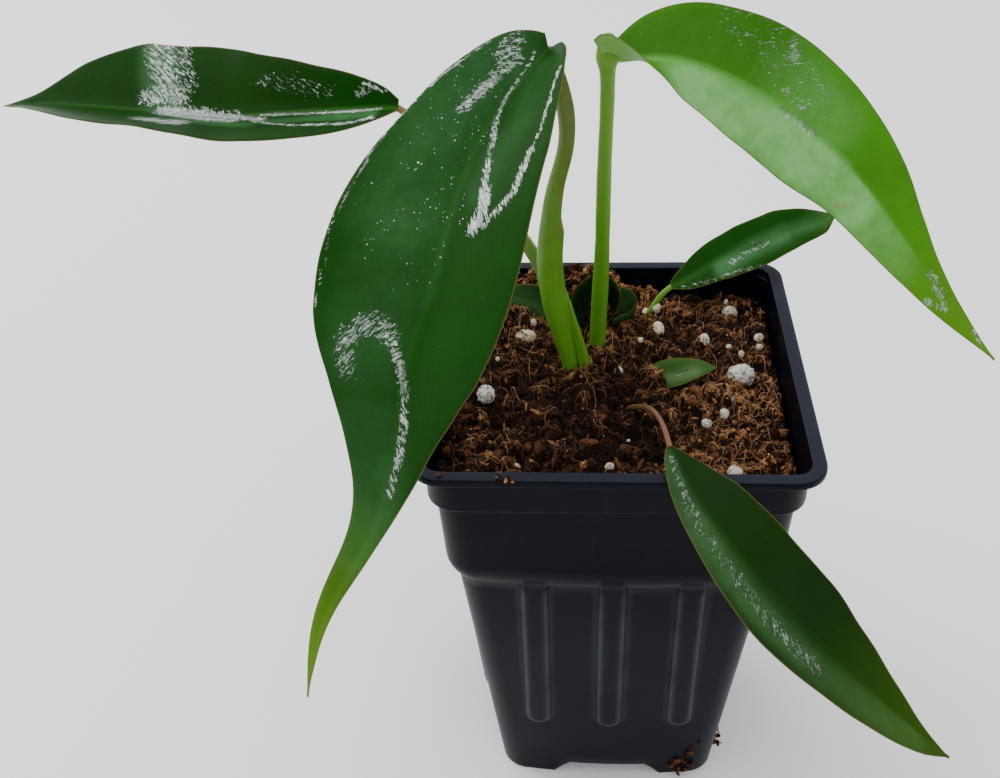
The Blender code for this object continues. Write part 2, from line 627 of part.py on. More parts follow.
def cut_slot(soil, name, grid):
    """Slot in the mix for the buried part of a blade."""
    slot = sheet_solid(grid, BLADE_THICK + 2 * SLOT_GAP, SLOT_GAP)
    cut(soil, add_object("cutter_" + name, *slot, hidden=True))


def make_leaves(soil):
    for name, spec in BLADES.items():
        grid = blade_grid(spec)
        add_object(name, *sheet_solid(grid, BLADE_THICK), look=LEAF_LOOKS[name])
        if name in BURIED_BLADES:
            cut_slot(soil, name, grid)
    name = "leaf_rolled_back"
    add_object(name, *sheet_solid(roll_grid(), BLADE_THICK), look=LEAF_LOOKS[name])
    cut_slot(soil, name, roll_grid())


def make_stems(soil):
    for name, spec in STEMS.items():
        look = "stalk_brown" if name == "petiole_lower_right" else "stalk_green"
        add_object(name, *stem_solid(spec), look=look)
        cut(soil, add_object("cutter_" + name, *stem_solid(spec, STEM_GAP), hidden=True))


def make_grains(soil):
    for name in GRAINS:
        add_object(name, *grain_solid(name), look="perlite")
        cut(soil, add_object("cutter_" + name, *grain_solid(name, GRAIN_GAP), hidden=True))


def main():
    clear_scene()
    make_pot()
    soil = make_soil()
    make_stems(soil)
    make_leaves(soil)
    make_grains(soil)
    bpy.context.view_layer.update()


main()
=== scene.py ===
"""Looks of a young philodendron joepii in its square nursery pot.

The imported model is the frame: origin under the middle of the pot, the pot's front face towards -Y, +X to the
right of someone who faces it. Lengths are in metres, but the points, widths and radii of leaves, stalks and
grains are in millimetres, which MM turns into metres.
"""

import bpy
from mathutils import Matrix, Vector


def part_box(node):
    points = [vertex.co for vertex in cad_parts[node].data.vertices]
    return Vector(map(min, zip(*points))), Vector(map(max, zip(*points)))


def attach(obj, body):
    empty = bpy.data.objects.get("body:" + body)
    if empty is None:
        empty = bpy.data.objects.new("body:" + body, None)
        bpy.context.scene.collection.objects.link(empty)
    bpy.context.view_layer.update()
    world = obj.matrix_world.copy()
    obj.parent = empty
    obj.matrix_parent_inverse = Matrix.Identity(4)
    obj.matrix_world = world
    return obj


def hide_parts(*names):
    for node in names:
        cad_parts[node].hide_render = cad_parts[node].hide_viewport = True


bl_info = {
    "name": "Potted Philodendron Joepii",
    "version": (1, 0, 0),
    "blender": (4, 5, 0),
    "location": "View3D > Sidebar > Philodendron",
    "description": "Builds the leaves, stalks, potting mix and pot of a young philodendron",
    "category": "Object",
}

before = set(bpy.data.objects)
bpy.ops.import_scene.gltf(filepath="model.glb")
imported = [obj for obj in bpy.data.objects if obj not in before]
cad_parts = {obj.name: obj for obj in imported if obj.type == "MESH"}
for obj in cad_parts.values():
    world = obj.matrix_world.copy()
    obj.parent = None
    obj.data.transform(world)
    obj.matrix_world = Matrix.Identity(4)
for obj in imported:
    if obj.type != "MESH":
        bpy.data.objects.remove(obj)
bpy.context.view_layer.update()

import math
import random

import bmesh
import bpy
import numpy as np
from mathutils import Color, Matrix, Vector, noise

MM = 0.001
BODY = "root"

# Camera, where the photograph was taken from
CAMERA_PLACE = (-0.0087, -0.2649, 0.3245)
CAMERA_DOWN = 36.94  # degrees below the horizon
CAMERA_TURN = -4.74  # degrees clockwise from +Y, seen from above
CAMERA_ROLL = -2.61
CAMERA_LENS = 43.64  # in mm
CAMERA_SENSOR = 36  # width of its picture, in mm
CAMERA_CLIP = (0.01, 20)  # nearest and furthest that it sees

# Pot: half widths are those of its outside, and heights are counted from the ground
POT_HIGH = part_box("pot")[1]
POT_HEIGHT = POT_HIGH.z
RIM_HALF = POT_HIGH.x
RIM_FLAT = 0.0036  # width of the rim's flat top
RIM_THICK = 0.0022
COLLAR_HALF = 0.0468
COLLAR_LOW = 0.1215
BAND_TOP_HALF = 0.045
BAND_LOW_HALF = 0.0439
BAND_LOW = 0.1
BODY_TOP_HALF = 0.0413
BODY_TOP = 0.092
FOOT_HALF = 0.0324
WALL = 0.0014
CORNER = 0.008  # radius of the upright corners
BOW = 0.0016  # how far the walls bulge out in the middle
FLOOR_LOW = 0.0055
FLOOR_TOP = 0.007
ARCH_FOOT_HALF = 0.0163  # half width of an arch at the ground
ARCH_TOP_HALF = 0.012
ARCH_HIGH = 0.005
ARCH_BLEND = 0.008  # height up to which rows of faces bend round the arch
PAD_RADIUS = 0.008
PAD_OVERLAP = 0.0005  # how far the pad reaches into the floor
DRAIN_RADIUS = 0.0035
DRAIN_PLACE = 0.0165  # of each drain hole, from the middle along both sides
DRAIN_SPARE = 0.001  # how far the tools that cut the drain holes stand out of the floor
RIB_PITCH = 0.0206
RIB_WIDTH = 0.0075
RIB_PROUD = 0.0014
RIB_ROUND = 0.0017  # how far in from its edge a rib is rounded
RIB_LOW = 0.028
FOOT_EDGE = 0.4 * MM  # rounding of each edge
NECK_EDGE = 0.4 * MM
COLLAR_EDGE = 1.1 * MM
RIM_EDGE = 0.5 * MM
UNDER_RIM_EDGE = 0.7 * MM
RIM_MELT = 0.003  # how far over the collar's foot the inside narrows
RIB_STEPS = (0, 0.9, 1.8, 2.2, 2.55, 2.85, 3.15, 3.4, 3.6, 3.72, 3.8, 3.95)  # beside a rib's middle, in mm
ARCH_STEPS = (6, 8, 10, 12, 14, 15.2)  # columns of the arch, in mm
COLUMNS_HALF = 0.025  # half width that these columns need, drawn in where the side is shorter
COLUMNS_CLEAR = 0.0005
CORNER_STEPS = 12
EDGE_STEPS = 4
# Heights of the rows of points up the pot
SKIRT_ROWS = (0.0045, 0.003, 0.0015, 0)
FOOT_ROWS = (0.002, 0.004, 0.006, 0.008, 0.011, 0.014, 0.018, 0.022, 0.0255)
RIB_END_ROWS = np.arange(0.0272, 0.033, 0.00035)
BODY_ROWS = (0.036, 0.044, 0.052, 0.06, 0.068, 0.076, 0.084, 0.089)
CURVE_ROWS = np.linspace(BODY_TOP, BAND_LOW, 20)
BAND_ROWS = (0.103, 0.107, 0.112, 0.117)
INNER_ROWS = (0.112, 0.104, BAND_LOW, 0.097, BODY_TOP, 0.05, FLOOR_TOP)

# Potting mix
SOIL_HIGH = 0.1255
SOIL_BACK = 0.0012  # how much higher it lies at the back wall
SOIL_EDGE = 0.0014  # how much lower it lies at the walls
SOIL_EDGE_POWER = 6
SOIL_GAP = 0.0003
LUMPS = 90
LUMP_HIGH = 0.0013
LUMP_WIDE = (0.003, 0.006)
LUMP_REACH = 0.045
LUMP_SEED = 7
SOIL_STEPS = 170
SOIL_BROAD = 3  # height of its clumps over the cracks between them, in mm
SOIL_CRUMBLY = 0.9  # height of its crumbly unevenness, in mm
CLUMP_RATE = 0.13  # clumps and crumbs per mm
CRUMB_RATE = 0.8
SOIL_DROP = 2.5  # how far the foot of both lies under the plain surface, in mm
DAMP_PATCH = (0, -14, 20, 24)  # place and half size of the damper, darker mix before the stalks, in mm
DRY_CORNER = (5, 18, 16, 20)  # start and width of the drier mix at the front right, across and deep, in mm
# Heaps of mix against the wall and round the stalks: place, half width, half depth and height, in mm
HEAPS = (
    (-14, 45.5, 9, 6.5, 9.4), (-3, 45.5, 7, 6, 9.4), (-24, 44, 6, 5, 5.5), (9, 41, 6, 6, 4),
    (-31, 37, 8, 8, 3.2), (-11, 6, 6, 5, 2.2), (-3, 16, 6, 5, 2.4), (11, 2, 4, 4, 1.8),
    (17, 34, 5, 5, 1.8), (-27, 29, 8, 4.5, 4.6),
)
HEAP_CRUMBS = ((-33, 13), (35, 44.3), 520)  # where the heaped crumbs lie, in mm, and how many there are
CRUMB_SEED = 21
FIBRE_SEED = 33
# Tone of the crumbs, from dark (0) to pale (1)
BODY_TONE = 0.12  # of the body of the mix, under the crumbs: dark, as painted shade in the voids between them
TONE_SPREAD = 0.28
PAINTED_SHADE_RISE = 0.2  # how much paler each millimetre over the plain surface is: painted shade in the cracks, painted light on heaps
TONE_DAMP = 0.42
TONE_DRY = 0.56
PALEST = 1.1

SPLINE_SAMPLES = 1200  # points along a curve before it is cut into equal steps

# Where the half widths below are measured, from base (0) to tip (1) of a blade
LONG = (0, 0.008, 0.03, 0.08, 0.16, 0.28, 0.42, 0.56, 0.7, 0.84, 1)
OVAL = (0, 0.03, 0.1, 0.2, 0.35, 0.5, 0.65, 0.8, 0.92, 1)
LOBE_POWER = 1.4
CURL_STEPS = 9
TIP_HALF = 0.3

# What most blades have, where their own values below don't say otherwise
BLADE_USUAL = dict(
    at=OVAL, roll=[(0, 0), (1, 0)], curl=-10, lobes=(0, 0), reach=0.25, ripe=(0.5, 0), tone=(1, 1, 1),
    shine=0, wet=(), bloom=(), shade=(), scars=())

# A blade runs along its rib and faces "facing", turned by "roll" about the rib, in degrees.
# "left" and "right": half widths at "at", seen from the face with the tip ahead
# "fold": how far the halves lift off the flat, and "curl": how far they bend towards the margin, in degrees
# "lobes": how far each half reaches back past the base, over a share "reach" of the blade
# "wave": height and number of the waves along the margin
# "look": name of its colours, and "tone": what multiplies the colour of its face
# "veins": pitch of the side veins, how far they lean forward and how well they show
# "midrib": how well the midrib shows
# "ripe": where the paler green of the tip starts and how strong it is
# "shine": how strongly the painted glint of sky on the water shows
# "wet", "bloom" and "shade": strokes of glossy water with a painted glint, of painted sheen
# where the blade mirrors bright sky, and of painted shade. Each has a half width in mm, a strength, and points
# as shares of the way to the tip and to the margin, below 0 on the left
# "scars": a place of the same kind and a width
BLADES = {
    "leaf_large_front": dict(
        look="dark",
        rib=[(-16, 0, 221), (-28, -15, 211), (-36, -28, 199), (-41, -40, 184), (-47, -48, 168),
             (-51, -56, 149), (-58, -61, 128), (-70, -65, 106), (-78, -68, 77)],
        facing=(-0.3, -0.75, 0.6),
        roll=[(0, -2), (0.25, 3), (0.5, 3), (0.75, -4), (1, -9)],
        at=(0, 0.008, 0.03, 0.08, 0.16, 0.28, 0.35, 0.42, 0.49, 0.56, 0.7, 0.84, 1),
        left=(3, 6, 10, 16.5, 22, 23, 22.6, 21, 16.2, 10, 3.5, 2, 0),
        right=(3, 5.5, 9.5, 13.5, 18, 26, 27.2, 25.2, 17.6, 12.2, 5, 2.6, 0),
        fold_left=[(0, 48), (0.1, 38), (0.25, 24), (1, 15)],
        fold_right=[(0, 39), (0.1, 30), (0.25, 22), (1, 15)],
        curl=-15, lobes=(2, 2), reach=0.12, rows=280, halves=38, wave=(0.18, 4), veins=(4.6, 0.9, 0.05),
        midrib=0.13, ripe=(0.58, 0.85), shine=0.96,
        wet=[(3.2, 0.52, ((0.03, 0.78), (0.05, 0.58))),
             (1.6, 0.7, ((0.04, 0.4), (0.07, 0.42), (0.09, 0.41), (0.13, 0.46))),
             (0.6, 0.74, ((0.02, 0.3), (0.03, 0.15), (0.06, 0.07), (0.09, 0.04), (0.12, -0.05))),
             (1.3, 0.7, ((0.12, -0.05), (0.15, -0.19), (0.17, -0.24), (0.2, -0.31), (0.23, -0.4))),
             (2.1, 0.85, ((0.22, -0.38), (0.25, -0.42), (0.27, -0.34))),
             (0.5, 0.74, ((0.04, -0.9), (0.09, -0.86), (0.13, -0.84), (0.16, -0.8))),
             (1.1, 0.72, ((0.16, -0.8), (0.19, -0.76), (0.22, -0.74), (0.25, -0.57), (0.265, -0.47))),
             (3, 0.52, ((0.47, 0.7), (0.44, 0.66), (0.42, 0.5), (0.41, 0.35), (0.42, 0.23))),
             (1.7, 0.62, ((0.42, 0.23), (0.45, 0.07), (0.49, -0.09), (0.53, -0.18), (0.57, -0.23))),
             (1.5, 0.46, ((0.58, -0.24), (0.62, -0.27))),
             (0.3, 0.66, ((0.05, 0.97), (0.12, 0.98), (0.2, 0.985))),
             (0.3, 0.56, ((0.2, 0.985), (0.3, 0.985), (0.42, 0.985))),
             (15, 0.1, ((0.12, 0.5), (0.2, 0.35), (0.3, 0.25)))],
        bloom=[(5, 0.2, ((0.04, -0.4), (0.12, -0.48), (0.22, -0.3))),
               (3.4, 0.14, ((0.2, 0.05), (0.36, 0.04))),
               (12, 0.36, ((0.05, 0.75), (0.16, 0.55), (0.28, 0.42))),
               (11, 0.24, ((0.3, 0.4), (0.46, 0.5))),
               (11, 0.3, ((0.54, 0.6), (0.62, 0.45), (0.72, 0.2)))],
        scars=[(0.998, 0, 2.6)]),
    "leaf_large_right": dict(
        look="light",
        rib=[(-3, 2, 217), (12, 6, 215.9), (26, 8, 210), (40, 10, 201), (53, 10, 190),
             (65, 8, 177), (75, 3.6, 164.7), (86, -1, 151.4), (97, -6.3, 139.4)],
        facing=(0.1, -0.45, 0.85),
        roll=[(0, -6), (0.2, 40), (0.4, 39), (0.6, 29), (0.8, 19), (1, 15)],
        at=LONG,
        left=(1.5, 3, 5.5, 10, 14, 16, 14.5, 11.5, 6.5, 2.5, 0),
        right=(7, 9.5, 11, 11, 10.5, 13, 14, 11.3, 8.8, 5.4, 0),
        fold_left=[(0, 25), (0.25, 12), (1, 10)],
        fold_right=[(0, 95), (0.08, 55), (0.18, 28), (0.35, 14), (1, 10)],
        lobes=(0, 4), rows=200, halves=30, wave=(0.25, 4), veins=(4.2, 0.9, 0.07),
        midrib=0.3, ripe=(0.55, 0.55), shine=0.52,
        wet=[(8, 0.17, ((0.19, -0.93), (0.25, -0.8), (0.33, -0.6), (0.38, -0.4))),
             (2.2, 0.45, ((0.3, -0.84), (0.32, -0.66))), (2, 0.42, ((0.34, -0.25), (0.38, -0.2))),
             (1.3, 0.62, ((0.35, 0.06), (0.39, 0.03), (0.43, 0.03))),
             (1.8, 0.62, ((0.79, -0.07), (0.85, 0.25))),
             (1.3, 0.75, ((0.82, 0.85), (0.86, 0.42))), (1.2, 0.7, ((0.93, -0.6), (0.95, 0.03)))],
        bloom=[(10, 1, ((0.16, 0.6), (0.28, 0.55), (0.42, 0.45))),
               (11, 1, ((0.4, 0.45), (0.58, 0.45))),
               (10, 0.52, ((0.52, 0.5), (0.7, 0.6))), (2, 0.5, ((0.04, 0.12), (0.3, 0.06), (0.52, 0.06))),
               (9, 0.26, ((0.32, -0.45), (0.44, -0.28))), (8, 0.05, ((0.06, -0.5), (0.2, -0.5)))],
        # painted shade on the far half near the base
        shade=[(11, 0.6, ((0.06, -0.4), (0.16, -0.5), (0.26, -0.6))),
               (6, 0.25, ((0.26, -0.6), (0.42, -0.7)))],
        scars=[(0.56, 0.75, 0.75), (0.57, 0.66, 0.45)]),
    "leaf_upper_left": dict(
        look="dark", tone=(0.42, 0.7, 0.1),
        rib=[(-54, 14, 201), (-69, 17, 199), (-84, 20, 197), (-100, 23, 195), (-116, 26, 195),
             (-132, 29, 195), (-148, 32, 195), (-165, 36, 193)],
        facing=(0, -0.41, 0.91),
        roll=[(0, -15), (0.33, 5), (0.67, 15), (1, 15)],
        left=(1, 3.6, 9, 14.5, 18.5, 19, 19, 14, 4.8, 0),
        right=(2, 5, 8.7, 12.2, 17, 20.5, 20.5, 14, 3, 0),
        fold=[(0, 30), (1, 30)],
        curl=-12, lobes=(0.5, 0.5), rows=190, halves=30, wave=(0.25, 3), veins=(4.4, 0.9, 0.05),
        midrib=0.45, ripe=(0.97, 0.5), shine=0.92,
        wet=[(5.4, 0.62, ((0.63, 0.93), (0.6, 0.6), (0.57, 0.25))), (2.6, 0.46, ((0.57, 0.93), (0.53, 0.4))),
             (3, 0.66, ((0.63, 0.22), (0.54, 0.2))),
             (4, 0.95, ((0.57, 0), (0.48, -0.05), (0.4, -0.09))),
             (2, 0.85, ((0.4, -0.02), (0.35, -0.1), (0.32, -0.17))),
             (4, 0.84, ((0.575, -0.6), (0.5, -0.5))),
             (0.8, 0.8, ((0.33, -0.02), (0.23, -0.05), (0.13, -0.06), (0.04, -0.06))),
             (0.9, 0.8, ((0.33, -0.25), (0.27, -0.42), (0.21, -0.53), (0.1, -0.68), (0.05, -0.74))),
             (1.8, 0.55, ((0.09, 0.53), (0.07, 0.72))), (0.6, 0.7, ((0.08, 0.85), (0.03, 0.8))),
             (4, 0.15, ((0.34, 0.57), (0.22, 0.55), (0.17, 0.47)))],
        bloom=[(6.4, 0.8, ((0.63, 0.9), (0.61, 0.5), (0.58, 0.2))), (2.4, 0.6, ((0.3, -0.28), (0.06, -0.35))),
               (3, 0.4, ((0.5, -0.3), (0.34, -0.36)))]),
    "leaf_small_back": dict(
        look="dark", tone=(1.1, 1.1, 0.9),
        rib=[(17.5, 36, 135), (24, 38, 138), (30, 40, 141), (37, 42, 143), (44, 44, 145),
             (51, 45, 148), (57.5, 46, 150.3), (64, 46, 152.8)],
        facing=(0, -0.5, 0.85),
        roll=[(0, 8), (0.67, 9), (1, 12)],
        left=(1, 2, 3.5, 5, 6.5, 7.5, 7.5, 5.5, 2.5, 0),
        right=(1, 2, 4, 5.5, 7, 7, 6.5, 5.5, 4.5, 0),
        fold=[(0, 15), (1, 15)],
        curl=-8, rows=120, halves=22, wave=(0.2, 3), veins=(2.6, 0.9, 0.06),
        midrib=0.3, ripe=(0.8, 0.12), shine=0.4,
        wet=[(1.6, 0.42, ((0.36, 0.4), (0.46, 0.15), (0.55, 0))),
             (0.7, 0.48, ((0.05, 0.8), (0.24, 0.9), (0.5, 0.92))), (0.8, 0.5, ((0.55, 0.25), (0.6, 0.08)))],
        bloom=[(3.6, 0.75, ((0.3, 0.45), (0.5, 0.1), (0.7, 0.05))), (3, 0.5, ((0.72, 0.05), (0.94, 0)))],
        scars=[(0.52, -0.15, 0.3)]),
    "leaf_lower_right": dict(
        look="deep",
        rib=[(12.7, -41, 138.3), (18, -56, 135), (26, -67, 130), (34, -75, 124), (43.1, -80.6, 116.5),
             (53.3, -85.2, 108), (63.5, -88.8, 99.5), (74.7, -91.5, 90)],
        facing=(0.1, -0.6, 0.8),
        roll=[(0, -5), (0.33, -6), (0.67, -13), (1, -13)],
        left=(1, 3, 7, 10.5, 12, 12, 9.5, 5, 1.5, 0),
        right=(1, 2.5, 4.5, 6.5, 9.5, 11, 10, 7.4, 4.1, 0),
        fold=[(0, 18), (1, 18)],
        rows=160, halves=24, wave=(0.2, 3), veins=(3.6, 0.9, 0.05),
        midrib=0.3, ripe=(0.5, 0.2), shine=0.4,
        wet=[(1.3, 0.55, ((0.04, 0.25), (0.1, 0.3), (0.17, 0.4))),
             (2.4, 0.3, ((0.17, 0.4), (0.32, 0.47), (0.44, 0.46))), (2.6, 0.36, ((0.44, 0.46), (0.6, 0.57)))],
        bloom=[(5, 0.8, ((0.05, 0.45), (0.3, 0.55), (0.6, 0.55), (0.88, 0.5)))]),
    "leaf_seedling": dict(
        look="young",
        rib=[(10.2, 3.6, 122.5), (13, 3.2, 126.2), (18, 2.4, 128.8), (23, 2.4, 130), (28, 3, 130)],
        facing=(0, -0.6, 0.8),
        left=(2.4, 3.2, 3.8, 4.1, 4.2, 4, 3.3, 2.3, 1.1, 0),
        right=(2.4, 3.2, 3.8, 4.1, 4.2, 4, 3.3, 2.3, 1.1, 0),
        fold=[(0, 16), (1, 12)],
        curl=-8, rows=60, halves=14, wave=(0.1, 2), veins=(2.2, 0.9, 0.05),
        midrib=0.15, shine=0.4, wet=[(0.7, 0.5, ((0.42, 0.15), (0.62, 0.1)))],
        bloom=[(2.4, 0.5, ((0.3, 0.3), (0.7, 0.2)))]),
    "leaf_old_left": dict(
        look="old",
        rib=[(-13.5, 31, 121.5), (-15.5, 31, 126), (-20, 32, 131), (-26, 33, 133.5), (-32, 34, 134)],
        facing=(0, -0.8, 0.6),
        left=(1, 1.8, 3, 4, 4.8, 5, 4.5, 3.4, 2, 0),
        right=(1, 1.8, 3, 4, 4.8, 5, 4.5, 3.4, 2, 0),
        fold=[(0, 14), (1, 10)],
        rows=50, halves=12, wave=(0.2, 2), veins=(2.4, 0.9, 0.05),
        midrib=0.12, bloom=[(4, 0.35, ((0.4, 0), (0.9, 0)))]),
}
BLADE_HALF_THICK = 0.25  # in mm
NEAR_RIB = 0.2  # places nearer to the midrib than this share count as on both halves
RIB_SOFT = 1  # how softly one-sided painted sheen and painted shade end at the midrib, in mm
MARGIN_POWER = 2.5  # how quickly the waves die out from the margin to the rib
RIB_BEND = 3.2  # how softly the halves meet at the midrib, in mm
RIB_GROOVE = (0.07, 0.7)  # depth and half width of the channel over the midrib, in mm
RIB_SHOULDER = (0.05, 1.9, 0.9)  # height, place and half width of the swelling beside the channel, in mm
RIB_RIDGE = (0.55, 1)  # height and half width of the midrib under the blade
RIB_FADE = 12  # how far from the tip the midrib starts to fade, in mm
THIN_MARGIN = (0.25, 1.2)  # share of its thickness that a blade keeps at its margin, and how wide that is
VEIN_RELIEF = 0.012  # depth of the side veins, in mm
VEIN_BEND = 1.35  # power by which the side veins sweep forward away from the midrib

# The old leaf rolled into a cup: its front edge, from the loose flap round to the inner margin
ROLL_EDGE = [(6.8, 28.6, 133.5), (6.6, 28.6, 129), (3.2, 28, 124), (-3, 28, 122.5), (-9, 28.5, 125.5),
             (-11.6, 29, 132), (-10, 29.6, 138.5), (-5, 30, 142.3), (0, 30, 141.3), (2.6, 30, 136),
             (1.5, 29.8, 130), (-1, 29.5, 126.8)]
ROLL_INWARD = (0, 8.1, -7.4)
FLAP_EDGE = [(0.6, 28.9, 128.2), (3.6, 28.2, 130.6), (6.6, 28, 133.2), (7.3, 28.4, 136), (5.2, 28.9, 138.6),
             (2.6, 29.3, 139)]
FLAP_INWARD = (-1.2, 2.6, -12.5)
ROLL_ROWS = 120
ROLL_COLUMNS = 24
ROLL_RIB = 6  # how far from its midrib the rolled leaf counts as being, in mm
ROLL_LOOK = dict(BLADE_USUAL, look="old", veins=(4, 0.4, 0.05), midrib=0)

# Stalks: points up the middle and a radius at each
# "flat": above 1 it makes a stalk wider across than deep
# "groove": depth of its channel as a share of the radius, and the side it lies on in degrees
# "wing": side in degrees, height in mm and both ends of a thin wing, and "corky": both ends of its dry parts
STALKS = {
    "petiole_large_front": dict(
        path=[(-9.5, 7.5, 108), (-11, 7.5, 126), (-13.5, 7.3, 137.5), (-16, 7, 149), (-17.2, 6.6, 161),
              (-16.5, 6, 172), (-14.9, 5.2, 184), (-12.6, 4.2, 194), (-12.3, 3, 203.5), (-13.7, 1.9, 211.5),
              (-15.3, 1.1, 217.5), (-15.9, 0.3, 220.6)],
        radius=(1.9, 2, 2.3, 2.6, 2.6, 2.3, 1.85, 1.75, 1.75, 1.7, 1.5, 1.4),
        flat=1.15, rows=220, groove=(0.1, -60), look="olive", wing=(-12, 0.85, 0.2, 0.6)),
    "petiole_large_right": dict(
        path=[(-4.4, 19.4, 108), (-4, 18, 125), (-3.6, 16.5, 139.7), (-3.1, 14, 158.4), (-2.9, 9, 188.8),
              (-2.6, 4.5, 209), (-2.7, 3.1, 214.5), (-2.8, 2.5, 218), (-2.7, 3, 220.6), (-2.2, 4.2, 222.6)],
        radius=(2.2, 2.3, 2.2, 2, 1.8, 1.7, 1.9, 2.6, 2.3, 1), rows=160, groove=(0.1, -120),
        look="green"),
    "petiole_upper_left": dict(
        path=[(-9, 14, 110), (-11.6, 14.2, 128.6), (-15.4, 14.4, 141.3), (-18.8, 14.6, 153.2),
              (-26, 15, 166.4), (-37, 15, 183.4), (-46.5, 14.5, 194.7), (-53.9, 14, 200.9)],
        radius=(2, 2, 2, 2, 1.7, 1.2, 1, 0.9), rows=120, groove=(0.22, -80), look="pale"),
    "petiole_small_back": dict(
        path=[(8, 33, 114), (10.4, 33.5, 125.3), (13, 34.3, 130.4), (14.9, 35, 132.9), (17.6, 36, 135)],
        radius=(0.8, 0.8, 0.8, 0.8, 0.8), rows=50, groove=(0.1, -90), look="green"),
    "petiole_lower_right": dict(
        path=[(-0.5, -2, 112), (4.4, -8.7, 124.8), (7.1, -15, 130.3), (9.4, -22, 134.8), (11.2, -29, 136.8),
              (12.1, -35, 137.6), (12.7, -41, 138.2)],
        radius=(0.9, 0.8, 0.72, 0.68, 0.66, 0.66, 0.7), rows=80, groove=(0.15, -90), look="brown"),
    "bud_sheath": dict(
        path=[(-5.4, 7.4, 112), (-7.3, 7.2, 126), (-9.6, 7, 137.5), (-11.8, 6.8, 147), (-12.9, 6.6, 153)],
        radius=(1.7, 1.7, 1.35, 0.95, 0.3), rows=60, groove=(0.16, -100), look="green",
        corky=[(0.96, 1.1)]),
}
STALK_SIDES = 40
WING_SPREAD = 0.24  # half width of the thin wing along a stalk, in radians

# Clumps of mix that stick to the pot: place and width
STUCK_DIRT = (
    (20, -33.2, 5, 3.4), (22.4, -33.5, 7.6, 3.8), (24.5, -33.8, 10.8, 3), (25.6, -33.9, 13, 2),
    (21.8, -33.2, 3, 3.4), (23.6, -33, 1.8, 2.4), (16.8, -32.9, 1, 1.4), (25.2, -33.4, 5.4, 2),
    (34, -23, 9.4, 1.8), (34.1, -23.6, 6.8, 2.3), (34.2, -24.2, 4.4, 2.4), (27.6, -34, 16.5, 1.1),
    (-26.4, -49.6, 135.2, 2.2), (-28.2, -49.4, 135.3, 1.6), (-24.6, -49.7, 135.2, 1.3),
    (-42.1, -48.4, 135.3, 1.4),
)
STUCK_BITS = 14

# The largest grains of perlite: place on the mix, width, length and height, in mm
GRAINS = {
    "perlite_right": (35, 4, 7.6, 6.4, 6.2),
    "perlite_left": (-34.2, -5, 5, 6, 4.6),
    "perlite_back_left": (-24.5, 22.5, 6.4, 5, 4),
    "perlite_back_right": (34.7, 35, 4.6, 4.2, 4.2),
    "perlite_middle": (13.7, 26.5, 3.4, 5.2, 4),
    "perlite_far_right": (26.3, 21, 3.2, 4, 3.6),
}
CREAM_GRAINS = ("perlite_middle", "perlite_back_left")  # the stained ones
GRAIN_RISE = 0.001
GRAIN_FLATS = 9
GRAIN_PITS = 46
PIT_DEPTH = 0.46  # as a share of a pit's half width
PIT_LIP = 0.03

# Smaller grains on the mix: place and mean width, in mm. Tiny ones lie at random places.
TINY_GRAINS = 34
TINY_SEED = 5
TINY_REACH = 43
TINY_WIDTH = (0.3, 0.7)
SMALL_GRAINS = [
    (13.4, 34, 3), (10.6, 34.6, 2.6), (34.2, 39, 1.7), (41.8, 21.6, 2.4), (41.4, 17, 2.2),
    (36.4, 15.6, 2), (33, 17.6, 1.4), (24.4, -14.6, 3), (29, -12.6, 2.5), (34.6, -12.6, 1.1),
    (29.4, -36.2, 3.3), (2, 7.6, 2.4), (32.2, -4.6, 1.6), (-24.8, -32.4, 2), (-1.2, -34, 2.4),
    (-32, 12.6, 1.5), (41.4, 38.6, 1.2), (-22.4, 27.4, 2.2), (8.4, 20.4, 1.6), (-15, -6.4, 0.9),
    (-27.6, -17.8, 0.8), (-36.4, -24, 0.8), (-14, -39, 0.8), (3.6, -23.4, 1), (38.4, -38.6, 0.8),
]

# Kinds of crumbs: name, the setting that holds their number, least and greatest size in mm, least and most of
# that in each direction, how far they rise as a share of it, subdivisions, unevenness, usual and palest tone
CRUMB_KINDS = (
    ("peat_clods", "clods", (1.1, 2.8), (0.7, 0.5, 0.4), (1.35, 1, 0.85), 0.1, 2, 0.2, 0.3, 0.72),
    ("peat_shreds", "shreds", (1.3, 3.6), (0.8, 0.16, 0.12), (1.2, 0.36, 0.28), 0.45, 2, 0.12, 0.48, 0.8),
    ("peat_crumbs", "crumbs", (0.4, 1.3), (0.7, 0.5, 0.4), (1.35, 1, 0.85), 0.25, 1, 0.16, 0.4, 0.9),
)
CRUMBS_CLEAR = 0.0012  # how far the crumbs and fibres stay clear of the walls
FIBRES_CLEAR = 0.002
FIBRE_ENDS_CLEAR = 0.0008
FIBRE_RISE = 0.0003
FIBRE_RIPPLE = 0.1  # in mm
CLEAR_CORNER = 0.006  # radius of the corners that are left free
BIT_WAVES = 2.2  # how closely the unevenness of a bit follows on itself
BIT_PHASES = 6.3
BIT_ROUGH = 0.6  # how rough the bits are, as a share of their unevenness

# Kinds of fibres: name, share of their number, length and radius in mm, points along and round them, how high
# they arch in mm, how much they curl
FIBRE_KINDS = (
    ("short_coir_fibres", 0.8, (1.6, 5), (0.04, 0.095), 8, 3, 1.3, 0.26),
    ("long_coir_curls", 0.2, (6, 13), (0.05, 0.12), 16, 3, 1.6, 0.07),
)
FIBRE_TONE = 0.68

